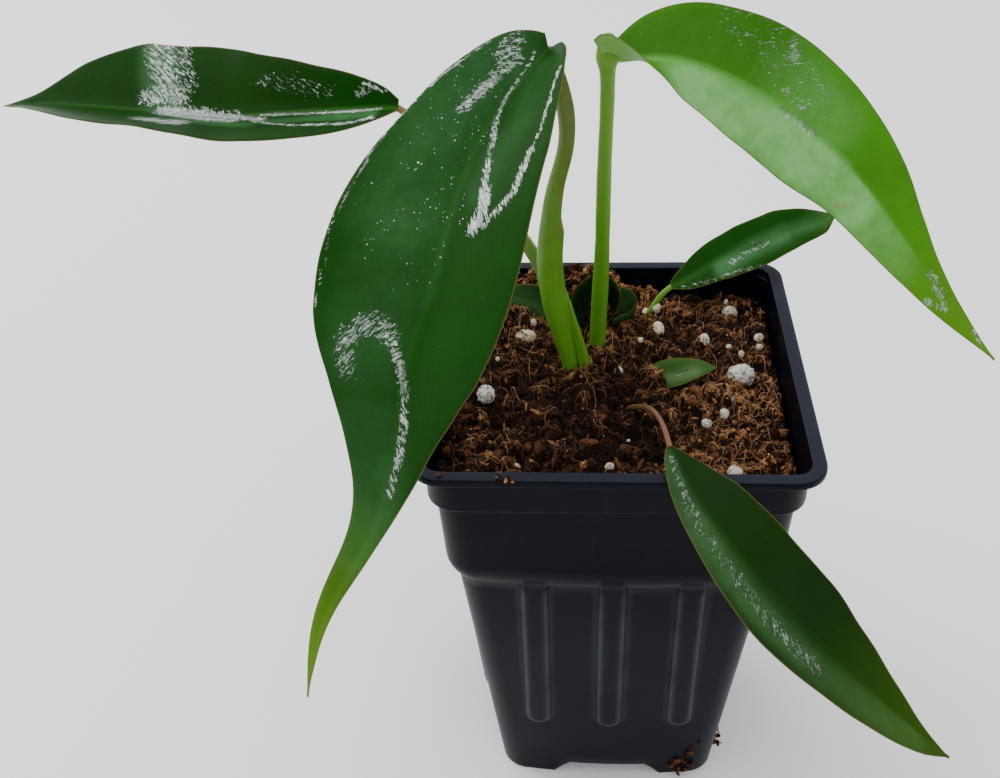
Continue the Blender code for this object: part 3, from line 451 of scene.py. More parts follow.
# Chips of bark: place, length, width and height, turn in degrees, and tone
BARK = [
    (-17.6, 3, 6.4, 3.4, 1.6, 20, 0.55), (20.5, -8, 4.6, 2.2, 1.2, -50, 0.45),
    (-30, -30.5, 5.2, 2.4, 1.4, 70, 0.4), (16, -34, 4.2, 2.6, 1.2, 10, 0.5),
    (-6.5, -24, 5, 2, 1.1, -25, 0.6), (38, -24, 4.4, 1.8, 1, 60, 0.5),
    (-38, 16, 4, 2.2, 1.2, 35, 0.45), (5, 41, 4.6, 2.6, 1.5, 0, 0.35),
]
BARK_SQUARE = (0.72, 0.8, 0.6)  # powers below 1 that make a ball boxy
BARK_ROUGH = 0.22
BARK_TILT = 0.25
BARK_RISE = 0.25  # height of a chip's middle over the mix, as a share of its own height


def lengths_along(points):
    """How far along the polyline through the points each of them lies."""
    return np.r_[0, np.cumsum(np.linalg.norm(np.diff(points, axis=0), axis=1))]


def smooth_curve(points, count, power=1):
    """Points on a natural cubic spline, and their share of its length. Power above 1 crowds its start."""
    knots = np.asarray(points, float)
    along = lengths_along(knots)
    step = np.diff(along)
    last = len(knots) - 1
    matrix = np.eye(last + 1)
    right = np.zeros_like(knots)
    for i in range(1, last):
        matrix[i, i - 1:i + 2] = step[i - 1], 2 * (step[i - 1] + step[i]), step[i]
        right[i] = 6 * ((knots[i + 1] - knots[i]) / step[i] - (knots[i] - knots[i - 1]) / step[i - 1])
    bend = np.linalg.solve(matrix, right)
    place = np.linspace(0, along[-1], SPLINE_SAMPLES)
    i = np.clip(np.searchsorted(along, place, side="right") - 1, 0, last - 1)
    a = ((along[i + 1] - place) / step[i])[:, None]
    b = ((place - along[i]) / step[i])[:, None]
    curve = a * knots[i] + b * knots[i + 1]
    curve += ((a ** 3 - a) * bend[i] + (b ** 3 - b) * bend[i + 1]) * (step[i] ** 2)[:, None] / 6
    length = lengths_along(curve)
    share = np.linspace(0, 1, count) ** power
    return np.stack([np.interp(share * length[-1], length, curve[:, k]) for k in range(3)], axis=1), share


def knot_shares(points):
    """How far along the polyline through the points each of them lies, from 0 to 1."""
    along = lengths_along(np.asarray(points, float))
    return along / along[-1]


def smooth_values(places, values, share):
    """Values between knots, smooth and without overshoot."""
    x, y = np.asarray(places, float), np.asarray(values, float)
    step = np.diff(x)
    rise = np.diff(y) / step
    slope = np.zeros(len(x))
    slope[0], slope[-1] = rise[0], rise[-1]
    for i in range(1, len(x) - 1):
        if rise[i - 1] * rise[i] > 0:
            near, far = 2 * step[i] + step[i - 1], step[i] + 2 * step[i - 1]
            slope[i] = (near + far) / (near / rise[i - 1] + far / rise[i])
    i = np.clip(np.searchsorted(x, share, side="right") - 1, 0, len(x) - 2)
    s = (share - x[i]) / step[i]
    return ((1 + 2 * s) * (1 - s) ** 2 * y[i] + s * (1 - s) ** 2 * step[i] * slope[i]
            + s * s * (3 - 2 * s) * y[i + 1] + s * s * (s - 1) * step[i] * slope[i + 1])


def smoothstep(value):
    value = np.clip(value, 0, 1)
    return value * value * (3 - 2 * value)


def quad_faces(rows, columns, closed=False):
    """Faces between a grid's points, also from its last column back to its first when it is closed."""
    row, column = np.meshgrid(np.arange(rows - 1), np.arange(columns - (not closed)), indexing="ij")
    a = row * columns + column
    b = row * columns + (column + 1) % columns
    return np.stack([a, b, b + columns, a + columns], axis=-1).reshape(-1, 4)


def grid_outline(rows, columns):
    """Numbers of the points round a grid, in order."""
    around = [(0, j) for j in range(columns)] + [(i, columns - 1) for i in range(1, rows)]
    around += [(rows - 1, j) for j in range(columns - 2, -1, -1)] + [(i, 0) for i in range(rows - 2, 0, -1)]
    return [i * columns + j for i, j in around]


def unit(vectors):
    return vectors / np.maximum(np.linalg.norm(vectors, axis=-1, keepdims=True), 1e-12)


def grid_normals(grid):
    return unit(np.cross(np.gradient(grid, axis=1), np.gradient(grid, axis=0)))


def new_object(name, data):
    """Object with its data, linked to the scene."""
    made = bpy.data.objects.new(name, data)
    bpy.context.scene.collection.objects.link(made)
    return made


def add_piece(name, vertices, faces, materials, nodes=(), attributes=None, sharp=40):
    """Piece from points and faces that rides on the body and may stand for nodes of the model."""
    mesh = bpy.data.meshes.new(name)
    mesh.from_pydata(np.asarray(vertices, float).tolist(), [], [list(face) for face in faces])
    mesh.validate()
    mesh.shade_smooth()
    if sharp:
        mesh.set_sharp_from_angle(angle=math.radians(sharp))
    for made in materials:
        mesh.materials.append(made)
    for label, values in (attributes or {}).items():
        data = mesh.attributes.new(label, "FLOAT", "POINT").data
        data.foreach_set("value", np.asarray(values, np.float32).ravel())
    piece = new_object(name, mesh)
    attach(piece, BODY)
    if nodes:
        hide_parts(*nodes)
    return piece


def add_joined(name, parts, made, sharp):
    """Piece from several parts, each of them points, faces and a tone."""
    starts = np.cumsum([0] + [len(points) for points, _, _ in parts])
    add_piece(name, np.concatenate([points for points, _, _ in parts]),
              np.concatenate([faces + start for (_, faces, _), start in zip(parts, starts)]), [made],
              attributes={"tone": np.concatenate([np.full(len(points), tone) for points, _, tone in parts])},
              sharp=sharp)


def turn_outwards(piece):
    """Makes the faces of a closed piece point out."""
    shape = bmesh.new()
    shape.from_mesh(piece.data)
    bmesh.ops.recalc_face_normals(shape, faces=shape.faces)
    shape.to_mesh(piece.data)
    shape.free()


# Shader nodes

def add(tree, kind, options=None, **sockets):
    """Shader node with its options set and its sockets given a value or linked. "_" stands for a space."""
    node = tree.nodes.new("ShaderNode" + kind)
    for option, value in (options or {}).items():
        setattr(node, option, value)
    for label, value in sockets.items():
        feed(value, node.inputs[label.replace("_", " ")])
    return node


def feed(value, socket):
    """Links a socket to another one or sets its value. A colour may come without its alpha."""
    if isinstance(value, bpy.types.NodeSocket):
        socket.id_data.links.new(value, socket)
    elif isinstance(value, (tuple, Color)) and len(value) == 3 and len(socket.default_value) == 4:
        socket.default_value = (*value, 1)
    else:
        socket.default_value = value


def calculate(operation, *values, clamp=False):
    """Result of a sum, in the tree of the first socket among its values."""
    tree = next(value.id_data for value in values if isinstance(value, bpy.types.NodeSocket))
    node = add(tree, "Math", {"operation": operation, "use_clamp": clamp})
    for socket, value in zip(node.inputs, values):
        feed(value, socket)
    return node.outputs[0]


def times(first, second, clamp=False):
    return calculate("MULTIPLY", first, second, clamp=clamp)


def plus(first, second):
    return calculate("ADD", first, second)


def minus(first, second):
    return calculate("SUBTRACT", first, second)


def scaled(value, factor, shift):
    """Value times a factor, plus a shift."""
    return calculate("MULTIPLY_ADD", value, factor, shift)


def off_half(value):
    """How far a value is from a half."""
    return calculate("ABSOLUTE", minus(value, 0.5))


def ramp(value, low, high, start=0, end=1):
    """Value brought from low..high to start..end, smooth and held at both ends."""
    return add(value.id_data, "MapRange", {"interpolation_type": "SMOOTHSTEP"}, Value=value, From_Min=low,
               From_Max=high, To_Min=start, To_Max=end).outputs[0]


def mix(share, first, second):
    """First colour with a share of the second one."""
    node = add(share.id_data, "Mix", {"data_type": "RGBA", "clamp_factor": True})
    for socket, value in zip((node.inputs[0], node.inputs[6], node.inputs[7]), (share, first, second)):
        feed(value, socket)
    return node.outputs[2]


def layered(colour, *layers):
    """Colour under layers, each of them a share and a colour."""
    for share, above in layers:
        colour = mix(share, colour, above)
    return colour


def shaded(colour, share):
    return tuple(share * part for part in colour)


def attribute(tree, label):
    return add(tree, "Attribute", {"attribute_name": label}).outputs["Fac"]


def places(tree):
    """Coordinates in metres, from the origin of the part."""
    return add(tree, "TexCoord").outputs["Object"]


def noise_value(vector, scale, detail=3, roughness=0.5, distortion=0):
    return add(vector.id_data, "TexNoise", Vector=vector, Scale=scale, Detail=detail, Roughness=roughness,
               Distortion=distortion).outputs["Fac"]


def cells(vector, scale, feature="F1"):
    """Distance to the nearest of many scattered points, or to the edge of its cell."""
    node = add(vector.id_data, "TexVoronoi", {"feature": feature}, Vector=vector, Scale=scale)
    return node.outputs["Distance"]


def stretched(vector, scale):
    return add(vector.id_data, "Mapping", Vector=vector, Scale=scale).outputs[0]


def new_group(label, **inputs):
    """Empty node group with its inputs and their defaults: its tree, and the inputs by name."""
    tree = bpy.data.node_groups.new(label, "ShaderNodeTree")
    for name, default in inputs.items():
        kind = "NodeSocketColor" if isinstance(default, tuple) else "NodeSocketFloat"
        socket = tree.interface.new_socket(name=name.replace("_", " "), in_out="INPUT", socket_type=kind)
        socket.default_value = default
    return tree, tree.nodes.new("NodeGroupInput").outputs


def end_group(tree, **outputs):
    """Gives a node group its outputs, each with what feeds it."""
    for name in outputs:
        kind = "NodeSocketColor" if name == "Colour" else "NodeSocketFloat"
        tree.interface.new_socket(name=name, in_out="OUTPUT", socket_type=kind)
    end = tree.nodes.new("NodeGroupOutput")
    for name, value in outputs.items():
        feed(value, end.inputs[name])


def use_group(tree, label, **sockets):
    """Outputs of a node group in a material, with its inputs set. The group is made at its first use."""
    if label not in bpy.data.node_groups:
        GROUPS[label]()
    node = tree.nodes.new("ShaderNodeGroup")
    node.node_tree = bpy.data.node_groups[label]
    for name, value in sockets.items():
        feed(value, node.inputs[name.replace("_", " ")])
    return node.outputs


def make_blade_relief():
    """Side veins, the net between them, cloudy colour and freckles of a blade, from its own measures."""
    tree, given = new_group("blade_relief", Pitch=4.5, Slant=0.9)
    along, rib, edge = (attribute(tree, label) for label in ("along", "rib", "edge"))
    spot = places(tree)
    bend = calculate("POWER", rib, VEIN_BEND)
    wander = times(noise_value(spot, 120, 2), 2.2)
    phase = minus(along, times(bend, given["Slant"]))
    phase = calculate("DIVIDE", plus(phase, wander), given["Pitch"])
    between = off_half(calculate("FRACT", phase))
    line = ramp(times(between, given["Pitch"]), 0.55, 0)
    second = off_half(calculate("FRACT", times(phase, 3)))
    fine = ramp(second, 0.25, 0, 0, 0.4)
    fade = times(ramp(rib, 0.4, 2), ramp(edge, 0.3, 2.5))
    vein = times(calculate("MAXIMUM", line, fine), fade)
    net = cells(spot, 1250, "DISTANCE_TO_EDGE")
    pores = noise_value(spot, 5200, 2)
    mottle = noise_value(spot, 300, 4, 0.62)
    height = minus(times(mottle, 0.06), times(vein, 0.008))
    height = plus(height, ramp(net, 0, 0.12, 0, 0.004))
    height = plus(height, times(pores, 0.004))
    freckle = add(tree, "TexVoronoi", Vector=spot, Scale=820).outputs
    chosen = add(tree, "SeparateColor", Color=freckle["Color"]).outputs["Red"]
    speck = times(ramp(freckle["Distance"], 0.17, 0.07), ramp(chosen, 0.6, 0.9))
    end_group(tree, Vein=vein, Cloud=noise_value(spot, 42, 5, 0.62), Mottle=mottle, Speck=speck,
              Height=height)


def make_water_film():
    """Streaks of water torn along the side veins where "wet" is high, beads where it is low.

    Glint is a painted highlight that goes into the blade's colour where the water would mirror bright sky, on
    streaks and beads, without the dark threads between the ripples.
    """
    tree, given = new_group("water_film", Wetness=1, Slant=0.9)
    spot = places(tree)
    along, rib = attribute(tree, "along"), attribute(tree, "rib")
    wet = times(attribute(tree, "wet"), given["Wetness"])
    sweep = times(calculate("POWER", rib, VEIN_BEND), given["Slant"])
    aside = times(attribute(tree, "side"), 9)
    grid = add(tree, "CombineXYZ", X=scaled(sweep, -0.4, along), Y=rib, Z=aside).outputs[0]
    flake = noise_value(stretched(grid, (1.05, 0.62, 1)), 1, 2, 0.6, 0.9)
    crumb = noise_value(stretched(grid, (3.2, 2, 1)), 1, 2, 0.5, 0.6)
    ragged = times(minus(crumb, 0.5), 1.3)
    ragged = scaled(minus(flake, 0.5), 3, ragged)
    torn = times(plus(wet, ragged), ramp(wet, 0.04, 0.16))
    ripple = noise_value(stretched(grid, (1.8, 1.2, 1)), 1, 2, 0.6, 1.6)
    thread = ramp(off_half(ripple), 0.06, 0.02)
    film = ramp(torn, 0.44, 0.54)
    # painted highlight: the streak's glint of sky, mixed into the blade's colour
    glint = times(film, minus(1, thread))
    glint = times(glint, ramp(torn, 0.44, 1.2, 0.28, 1))
    bright = noise_value(stretched(grid, (0.5, 0.38, 1)), 1, 2, 0.5)
    glint = times(glint, ramp(bright, 0.36, 0.58, 0.55, 1))
    cluster = noise_value(spot, 210, 2, 0.5)
    gate = scaled(minus(cluster, 0.5), 1.1, wet)
    gate = times(ramp(gate, 0.06, 0.22), ramp(wet, 0.01, 0.05))
    drops = add(tree, "TexVoronoi", Vector=spot, Scale=1350).outputs
    chance = add(tree, "SeparateColor", Color=drops["Color"]).outputs
    small = scaled(crumb, -0.35, drops["Distance"])
    small = scaled(chance["Red"], -0.16, small)
    bead = times(ramp(small, -0.01, -0.09), ramp(chance["Green"], 0.5, 0.55))
    bead = times(bead, gate)
    film = calculate("MAXIMUM", film, bead)
    # the beads get a painted glint as well
    glint = calculate("MAXIMUM", glint, times(bead, chance["Blue"]))
    height = times(film, plus(times(flake, 0.2), 0.04))
    end_group(tree, Film=film, Glint=glint, Height=height)


def make_fine_grain():
    """Two sizes of soft grain with scratches between them, for moulded plastic and for stalks."""
    tree, given = new_group("fine_grain", Grain_Scale=2500, Cloud_Scale=90)
    spot = places(tree)
    lines = noise_value(stretched(spot, (1400, 900, 45)), 1, 2, 0.5, 0.8)
    end_group(tree, Grain=noise_value(spot, given["Grain Scale"], 3, 0.6),
              Cloud=noise_value(spot, given["Cloud Scale"], 5, 0.6),
              Scratch=ramp(lines, 0.66, 0.76))


def make_settled_dust():
    """Dust and crumbs of mix that settle on faces that look up, and how much a face looks up, for a painted
    sheen of sky.
    """
    tree, given = new_group("settled_dust", Amount=0.5)
    normal = add(tree, "NewGeometry").outputs["Normal"]
    up = add(tree, "SeparateXYZ", Vector=normal).outputs["Z"]
    patches = noise_value(places(tree), 160, 6, 0.7)
    specks = ramp(cells(places(tree), 520), 0.16, 0.06)
    lying = times(ramp(up, -0.1, 0.8, 0.25, 1), given["Amount"])
    dust = calculate("MAXIMUM", ramp(patches, 0.48, 0.82), times(specks, 0.8))
    end_group(tree, Dust=times(dust, lying, clamp=True), Top=ramp(up, 0.6, 0.97))


def make_peat_tone():
    """Colour of peat and coir between a dark, a red-brown and a pale tone, with its roughness of surface."""
    tree, given = new_group("peat_tone", Tone=0.5, Dark=(0.01, 0.006, 0.004, 1),
                            Brown=(0.09, 0.035, 0.015, 1), Pale=(0.35, 0.2, 0.1, 1))
    spot = places(tree)
    grain = noise_value(spot, 1300, 5, 0.68)
    patch = noise_value(spot, 230, 4, 0.6)
    tone = plus(given["Tone"], times(minus(grain, 0.5), 0.9))
    tone = plus(tone, times(minus(patch, 0.5), 0.6))
    low = mix(ramp(tone, 0.1, 0.55), given["Dark"], given["Brown"])
    colour = mix(ramp(tone, 0.62, 1.05), low, given["Pale"])
    end_group(tree, Colour=colour, Height=times(grain, 0.25))


GROUPS = {
    "blade_relief": make_blade_relief,
    "water_film": make_water_film,
    "fine_grain": make_fine_grain,
    "settled_dust": make_settled_dust,
    "peat_tone": make_peat_tone,
}


def new_material(label, coat=0, coat_roughness=0.1, specular=0.5):
    """Material with a surface shader whose even values are set on its own sockets."""
    made = bpy.data.materials.new(label)
    made.use_nodes = True
    shader = made.node_tree.nodes["Principled BSDF"]
    shader.inputs["Coat Weight"].default_value = coat
    shader.inputs["Coat Roughness"].default_value = coat_roughness
    shader.inputs["Specular IOR Level"].default_value = specular
    return made, made.node_tree, shader


def finish_surface(shader, colour, roughness, height, strength=1):
    """Links colour, roughness and a height in millimetres to the surface shader."""
    bump = add(shader.id_data, "Bump", Height=height, Distance=MM, Strength=strength)
    for label, value in (("Base Color", colour), ("Roughness", roughness), ("Normal", bump.outputs[0])):
        feed(value, shader.inputs[label])


def blade_face(label, spec):
    """Upper face of a blade: cloudy green, faint veins, painted sheen and shade, a thin margin line, wet
    streaks with a painted glint.
    """
    finish = bpy.context.scene.philodendron_blades
    body, pale, bloom = (getattr(finish, spec["look"] + part) for part in ("", "_vein", "_bloom"))
    body = tuple(share * part for share, part in zip(spec["tone"], body))
    pitch, slant, vein_share = spec["veins"]
    ripe_from, ripe_share = spec["ripe"]
    made, tree, shader = new_material(label, coat_roughness=0.06, specular=finish.gloss)
    relief = use_group(tree, "blade_relief", Pitch=pitch, Slant=slant)
    film = use_group(tree, "water_film", Wetness=finish.wetness, Slant=slant)
    cloud, tip = relief["Cloud"], attribute(tree, "tip")
    sheen_share = times(attribute(tree, "bloom"), ramp(cloud, 0.36, 0.62, 0.6, 1.1))
    sheen_share = times(sheen_share, ramp(relief["Mottle"], 0.34, 0.66, 0.84, 1.12))
    near_rib = ramp(attribute(tree, "rib"), 1.6, 0.3)
    strong = ramp(tip, 0.9, 0.1, 0.3 * spec["midrib"], spec["midrib"])
    colour = layered(
        shaded(body, 0.8),
        (ramp(cloud, 0.34, 0.7), body),
        # painted shade
        (attribute(tree, "shade"), shaded(body, 0.5)),
        # painted sheen where the blade mirrors the bright sky
        (sheen_share, bloom),
        (times(relief["Vein"], vein_share), pale),
        (times(near_rib, strong), pale),
        (ramp(tip, ripe_from, 1, 0, ripe_share), finish.tip),
        (times(relief["Speck"], 0.4), bloom),
        (ramp(attribute(tree, "edge"), 0.34, 0.08, 0, 0.75), finish.margin),
        (times(attribute(tree, "scar"), 0.85), finish.scar),
        # painted glint of sky on the water
        (times(film["Glint"], spec["shine"]), finish.glint))
    dry = plus(finish.roughness, times(cloud, 0.16))
    roughness = calculate("MAXIMUM", scaled(film["Film"], -0.42, dry), 0.05)
    feed(times(film["Film"], 0.8), shader.inputs["Coat Weight"])
    finish_surface(shader, colour, roughness, plus(relief["Height"], film["Height"]))
    return made


def blade_back(label, spec):
    """Underside of a blade: paler, duller, with raised veins."""
    finish = bpy.context.scene.philodendron_blades
    body, pale = (getattr(finish, spec["look"] + part) for part in ("_under", "_vein"))
    pitch, slant, _ = spec["veins"]
    made, tree, shader = new_material(label, specular=finish.gloss)
    relief = use_group(tree, "blade_relief", Pitch=pitch, Slant=slant)
    cloud = relief["Cloud"]
    colour = layered(
        shaded(body, 0.8),
        (ramp(cloud, 0.3, 0.7), body),
        (times(relief["Vein"], 0.3), pale),
        (ramp(attribute(tree, "rib"), 1.3, 0.5, 0, 0.6), shaded(body, 1.6)),
        (ramp(attribute(tree, "edge"), 0.5, 0.1, 0, 0.7), finish.margin))
    finish_surface(shader, colour, scaled(cloud, 0.2, 0.38), times(relief["Height"], -1.5))
    return made


def stalk_skin(label, look):
    """Skin of a stalk: green to brown along its length, with fine fibres and small corky flecks."""
    finish = bpy.context.scene.philodendron_stalks
    low, high = getattr(finish, look), getattr(finish, look + "_top")
    made, tree, shader = new_material(label, coat=0.05, coat_roughness=0.3, specular=0.2)
    grain = use_group(tree, "fine_grain", Grain_Scale=3200, Cloud_Scale=190)
    spot = places(tree)
    fibres = noise_value(stretched(spot, (2300, 2300, 130)), 1, 3, 0.6)
    up = plus(attribute(tree, "along"), times(grain["Cloud"], 0.5))
    flecks = ramp(cells(stretched(spot, (1, 1, 0.4)), 640), 0.2, 0.08)
    colour = layered(
        low,
        (ramp(up, 0.45, 1.25), high),
        (ramp(fibres, 0.35, 0.75, 0, 0.2), shaded(low, 0.5)),
        (times(flecks, 0.18), finish.cork),
        (times(attribute(tree, "old"), 0.85), finish.cork))
    height = scaled(fibres, 0.03, times(grain["Grain"], 0.02))
    finish_surface(shader, colour, scaled(grain["Cloud"], 0.25, 0.3), height)
    return made


def pot_plastic():
    """Black plastic: paler towards the ground, scratched and dusty, with painted highlights on the rib edges
    and painted sky sheen on faces that look up.
    """
    finish = bpy.context.scene.philodendron_pot
    made, tree, shader = new_material("black_pot_plastic", specular=0.07)
    grain = use_group(tree, "fine_grain", Grain_Scale=2600, Cloud_Scale=60)
    settled = use_group(tree, "settled_dust", Amount=finish.dust)
    cloud, scratch, dust = grain["Cloud"], grain["Scratch"], settled["Dust"]
    level = add(tree, "SeparateXYZ", Vector=places(tree)).outputs["Z"]
    # paler in the scuff colour low down, most near the ground
    paler_low = times(ramp(level, 0.1, 0.05, 0, 0.22), ramp(cloud, 0.3, 0.7, 0.4, 1))
    edge_highlight = times(attribute(tree, "worn"), ramp(cloud, 0.35, 0.6, 0.5, 0.9))
    colour = layered(
        shaded(finish.colour, 0.7),
        (cloud, shaded(finish.colour, 1.35)),
        (paler_low, finish.scuff),
        # painted highlight on the rounded rib edges and the shoulder under the band
        (edge_highlight, finish.edge),
        # painted sheen of the sky on faces that look up, such as the rim's flat top
        (times(settled["Top"], 0.75), finish.rim),
        (times(scratch, 0.16), finish.scuff),
        # dust, in a slate blue that also paints the sky's sheen on faces that look up
        (times(dust, 0.5), finish.dust_and_sheen_colour))
    roughness = plus(scaled(cloud, 0.22, finish.roughness), times(dust, 0.3))
    roughness = plus(roughness, times(scratch, 0.1))
    height = minus(times(grain["Grain"], 0.022), times(scratch, 0.006))
    height = plus(height, times(dust, 0.03))
    finish_surface(shader, colour, roughness, height)
    return made


def peat(label, tone=None, specular=0.12, roughness=0.85, lift=1):
    """Peat and coir. Without a tone it is read from the piece, crumb by crumb."""
    finish = bpy.context.scene.philodendron_mix
    made, tree, shader = new_material(label, specular=specular)
    given = attribute(tree, "tone") if tone is None else tone
    shade = use_group(tree, "peat_tone", Tone=given, Dark=finish.dark, Brown=finish.brown, Pale=finish.pale)
    damp = ramp(noise_value(places(tree), 900, 3), 0.5, 0.75, 0, 0.35)
    finish_surface(shader, shade["Colour"], minus(roughness, damp), shade["Height"], lift)
    return made


def chalk():
    """Puffed grain of perlite: chalky white and pitted, with brown stains here and there and painted shade in
    its pits.
    """
    finish = bpy.context.scene.philodendron_mix
    made, tree, shader = new_material("chalky_perlite", specular=0.3)
    spot = places(tree)
    pits = cells(spot, 1150)
    stain = noise_value(spot, 640, 4, 0.68)
    colour = layered(
        finish.perlite,
        (ramp(stain, 0.48, 0.62, 0, 0.85), finish.perlite_stain),
        # painted shade in the pits
        (ramp(pits, 0.3, 0.12, 0, 0.85), shaded(finish.perlite_stain, 0.6)),
        (ramp(attribute(tree, "tone"), 0, 1, 0, 0.75), finish.perlite_cream))
    height = plus(ramp(pits, 0.3, 0.05, 0, -0.2),
                  times(noise_value(spot, 2600, 3), 0.12))
    finish_surface(shader, colour, scaled(stain, 0.1, 0.82), height)
    return made


# Pot

def wall_half(height):
    """Outer half width of the pot under its collar, away from the bulge."""
    if height < BODY_TOP:
        return FOOT_HALF + (BODY_TOP_HALF - FOOT_HALF) * height / BODY_TOP
    if height < BAND_LOW:
        below = (BAND_LOW - height) / (BAND_LOW - BODY_TOP)
        return BAND_LOW_HALF - (BAND_LOW_HALF - BODY_TOP_HALF) * below ** 2
    return BAND_LOW_HALF + (BAND_TOP_HALF - BAND_LOW_HALF) * (height - BAND_LOW) / (COLLAR_LOW - BAND_LOW)


def wall_bow(height):
    """How far the wall bulges. It fades out up the band."""
    return BOW * min(1, (COLLAR_LOW - height) / (COLLAR_LOW - BODY_TOP)) ** 3


def side_columns(straight):
    """Where the columns of points stand along one side: close together at the edges of the ribs."""
    spots = {sign * step * MM for sign in (-1, 1) for step in ARCH_STEPS}
    for rib in (-1, 0, 1):
        spots |= {round(rib * RIB_PITCH + sign * step * MM, 6) for sign in (-1, 1) for step in RIB_STEPS}
    inner = np.array(sorted(spots)) * min(1, (straight - COLUMNS_CLEAR) / COLUMNS_HALF)
    outer = np.linspace(inner[-1], straight, 5)[1:]
    return np.r_[-outer[::-1], inner, outer]


def rib_proud(along, height):
    """How far the three ribs stand out from the wall at places along it."""
    proud = np.zeros(len(along))
    foot = RIB_LOW + RIB_WIDTH / 2
    for rib in (-1, 0, 1):
        beyond = np.hypot(along - rib * RIB_PITCH, min(0, height - foot))
        inside = np.clip((RIB_WIDTH / 2 - beyond) / RIB_ROUND, 0, 1)
        proud = np.maximum(proud, RIB_PROUD * np.sqrt(1 - (1 - inside) ** 2))
    return proud


def pot_ring(height, half, plan_radius, ribs=False, arch_top=None):
    """Closed ring of the pot. Ribs stand out from it, and its lowest rows bend up round the arches."""
    straight = half - plan_radius
    along = side_columns(straight)
    bulge = wall_bow(height) if height < COLLAR_LOW else 0
    out = half + bulge * (1 - (along / straight) ** 2)
    if ribs:
        level = min(height, BODY_TOP)
        line = wall_half(level) + wall_bow(level) * (1 - (along / (wall_half(level) - CORNER)) ** 2)
        proud = rib_proud(along, height)
        out = np.where(proud > 0, np.maximum(out, line + proud), out)
    rise = np.full(len(along), float(height))
    if arch_top:
        slope = (ARCH_FOOT_HALF - np.abs(along)) / (ARCH_FOOT_HALF - ARCH_TOP_HALF)
        rise += ARCH_HIGH * np.clip(slope, 0, 1) * max(0, 1 - height / arch_top)
    swing = np.linspace(0, math.pi / 2, CORNER_STEPS + 1)[1:-1]
    x = np.r_[along, straight + plan_radius * np.sin(swing)]
    y = np.r_[-out, -straight - plan_radius * np.cos(swing)]
    z = np.r_[rise, np.full(len(swing), height)]
    quarters = []
    for turn in range(4):
        cosine, sine = round(math.cos(turn * math.pi / 2)), round(math.sin(turn * math.pi / 2))
        quarters.append(np.stack([x * cosine - y * sine, x * sine + y * cosine, z], axis=1))
    return np.concatenate(quarters)


def rounded(profile):
    """Profile of (height, half width, plan radius, rounding) with an arc in place of each rounded corner."""
    points = [profile[0][:3]]
    for before, here, after in zip(profile, profile[1:], profile[2:]):
        height, half, plan_radius, rounding = here
        back, ahead = (Vector((other[0] - height, other[1] - half)).normalized() * rounding
                       for other in (before, after))
        for share in np.linspace(0, 1, EDGE_STEPS + 1):
            shift = back * (1 - share) ** 2 + ahead * share ** 2
            points.append((height + shift.x, half + shift.y, plan_radius))
    return points + [profile[-1][:3]]


def pot_rings():
    """Rings from the floor's underside, down the skirt, up the outside and down the inside to the floor."""
    rings = [pot_ring(FLOOR_LOW, wall_half(FLOOR_LOW) - WALL, CORNER - WALL)]
    for height in SKIRT_ROWS:
        rings.append(pot_ring(height, wall_half(height) - WALL, CORNER - WALL, arch_top=FLOOR_LOW))
    for height, inset in ((0, FOOT_EDGE), (0.3 * FOOT_EDGE, 0.3 * FOOT_EDGE), (FOOT_EDGE, 0)):
        rings.append(pot_ring(height, wall_half(height) - inset, CORNER, arch_top=ARCH_BLEND))
    for height in (*FOOT_ROWS, *RIB_END_ROWS, *BODY_ROWS, *CURVE_ROWS, *BAND_ROWS):
        rings.append(pot_ring(height, wall_half(height), CORNER, ribs=True, arch_top=ARCH_BLEND))
    rim_low = POT_HEIGHT - RIM_THICK
    profile = [
        (COLLAR_LOW - 0.002, wall_half(COLLAR_LOW - 0.002), CORNER, 0),
        (COLLAR_LOW, BAND_TOP_HALF, CORNER, NECK_EDGE),
        (COLLAR_LOW, COLLAR_HALF, CORNER, COLLAR_EDGE),
        (rim_low, COLLAR_HALF, CORNER, UNDER_RIM_EDGE),
        (rim_low, RIM_HALF, CORNER, RIM_EDGE),
        (POT_HEIGHT, RIM_HALF, CORNER, RIM_EDGE),
        (POT_HEIGHT, RIM_HALF - RIM_FLAT, CORNER - RIM_FLAT, RIM_EDGE),
        (COLLAR_LOW + RIM_MELT, COLLAR_HALF - WALL, CORNER - WALL, RIM_EDGE),
        (COLLAR_LOW - 0.0005, BAND_TOP_HALF - WALL, CORNER - WALL, 0),
    ]
    rings += [pot_ring(*point) for point in rounded(profile)]
    for height in INNER_ROWS:
        rings.append(pot_ring(height, wall_half(height) - WALL, CORNER - WALL))
    return rings


def rib_highlight(points):
    """How much each point lies on the rounded edge of a rib or on the shoulder under the band, where a pale
    highlight is painted.
    """
    side = np.where(np.abs(points[:, 1]) >= np.abs(points[:, 0]), points[:, 0], points[:, 1])
    rib = np.clip(np.round(side / RIB_PITCH), -1, 1)
    foot = RIB_LOW + RIB_WIDTH / 2
    beyond = np.hypot(side - rib * RIB_PITCH, np.minimum(0, points[:, 2] - foot))
    near = np.exp(-((beyond - RIB_WIDTH / 2 + 0.6 * MM) / (0.95 * MM)) ** 2)
    near = near * smoothstep((BODY_TOP + 0.002 - points[:, 2]) / 0.006)
    shoulder = 0.5 * np.exp(-((points[:, 2] - BODY_TOP - 0.0015) / 0.0012) ** 2)
    return np.maximum(near, shoulder)


def upright(x, y, radius, low, high, sides=48):
    """Points and faces of an upright round solid about (x, y)."""
    turns = np.linspace(0, 2 * math.pi, sides, endpoint=False)
    ring = [(x + radius * math.cos(turn), y + radius * math.sin(turn)) for turn in turns]
    points = [(*place, z) for z in (low, high) for place in ring]
    faces = [list(range(sides))[::-1], list(range(sides, 2 * sides))]
    faces += [[k, (k + 1) % sides, (k + 1) % sides + sides, k + sides] for k in range(sides)]
    return points, faces


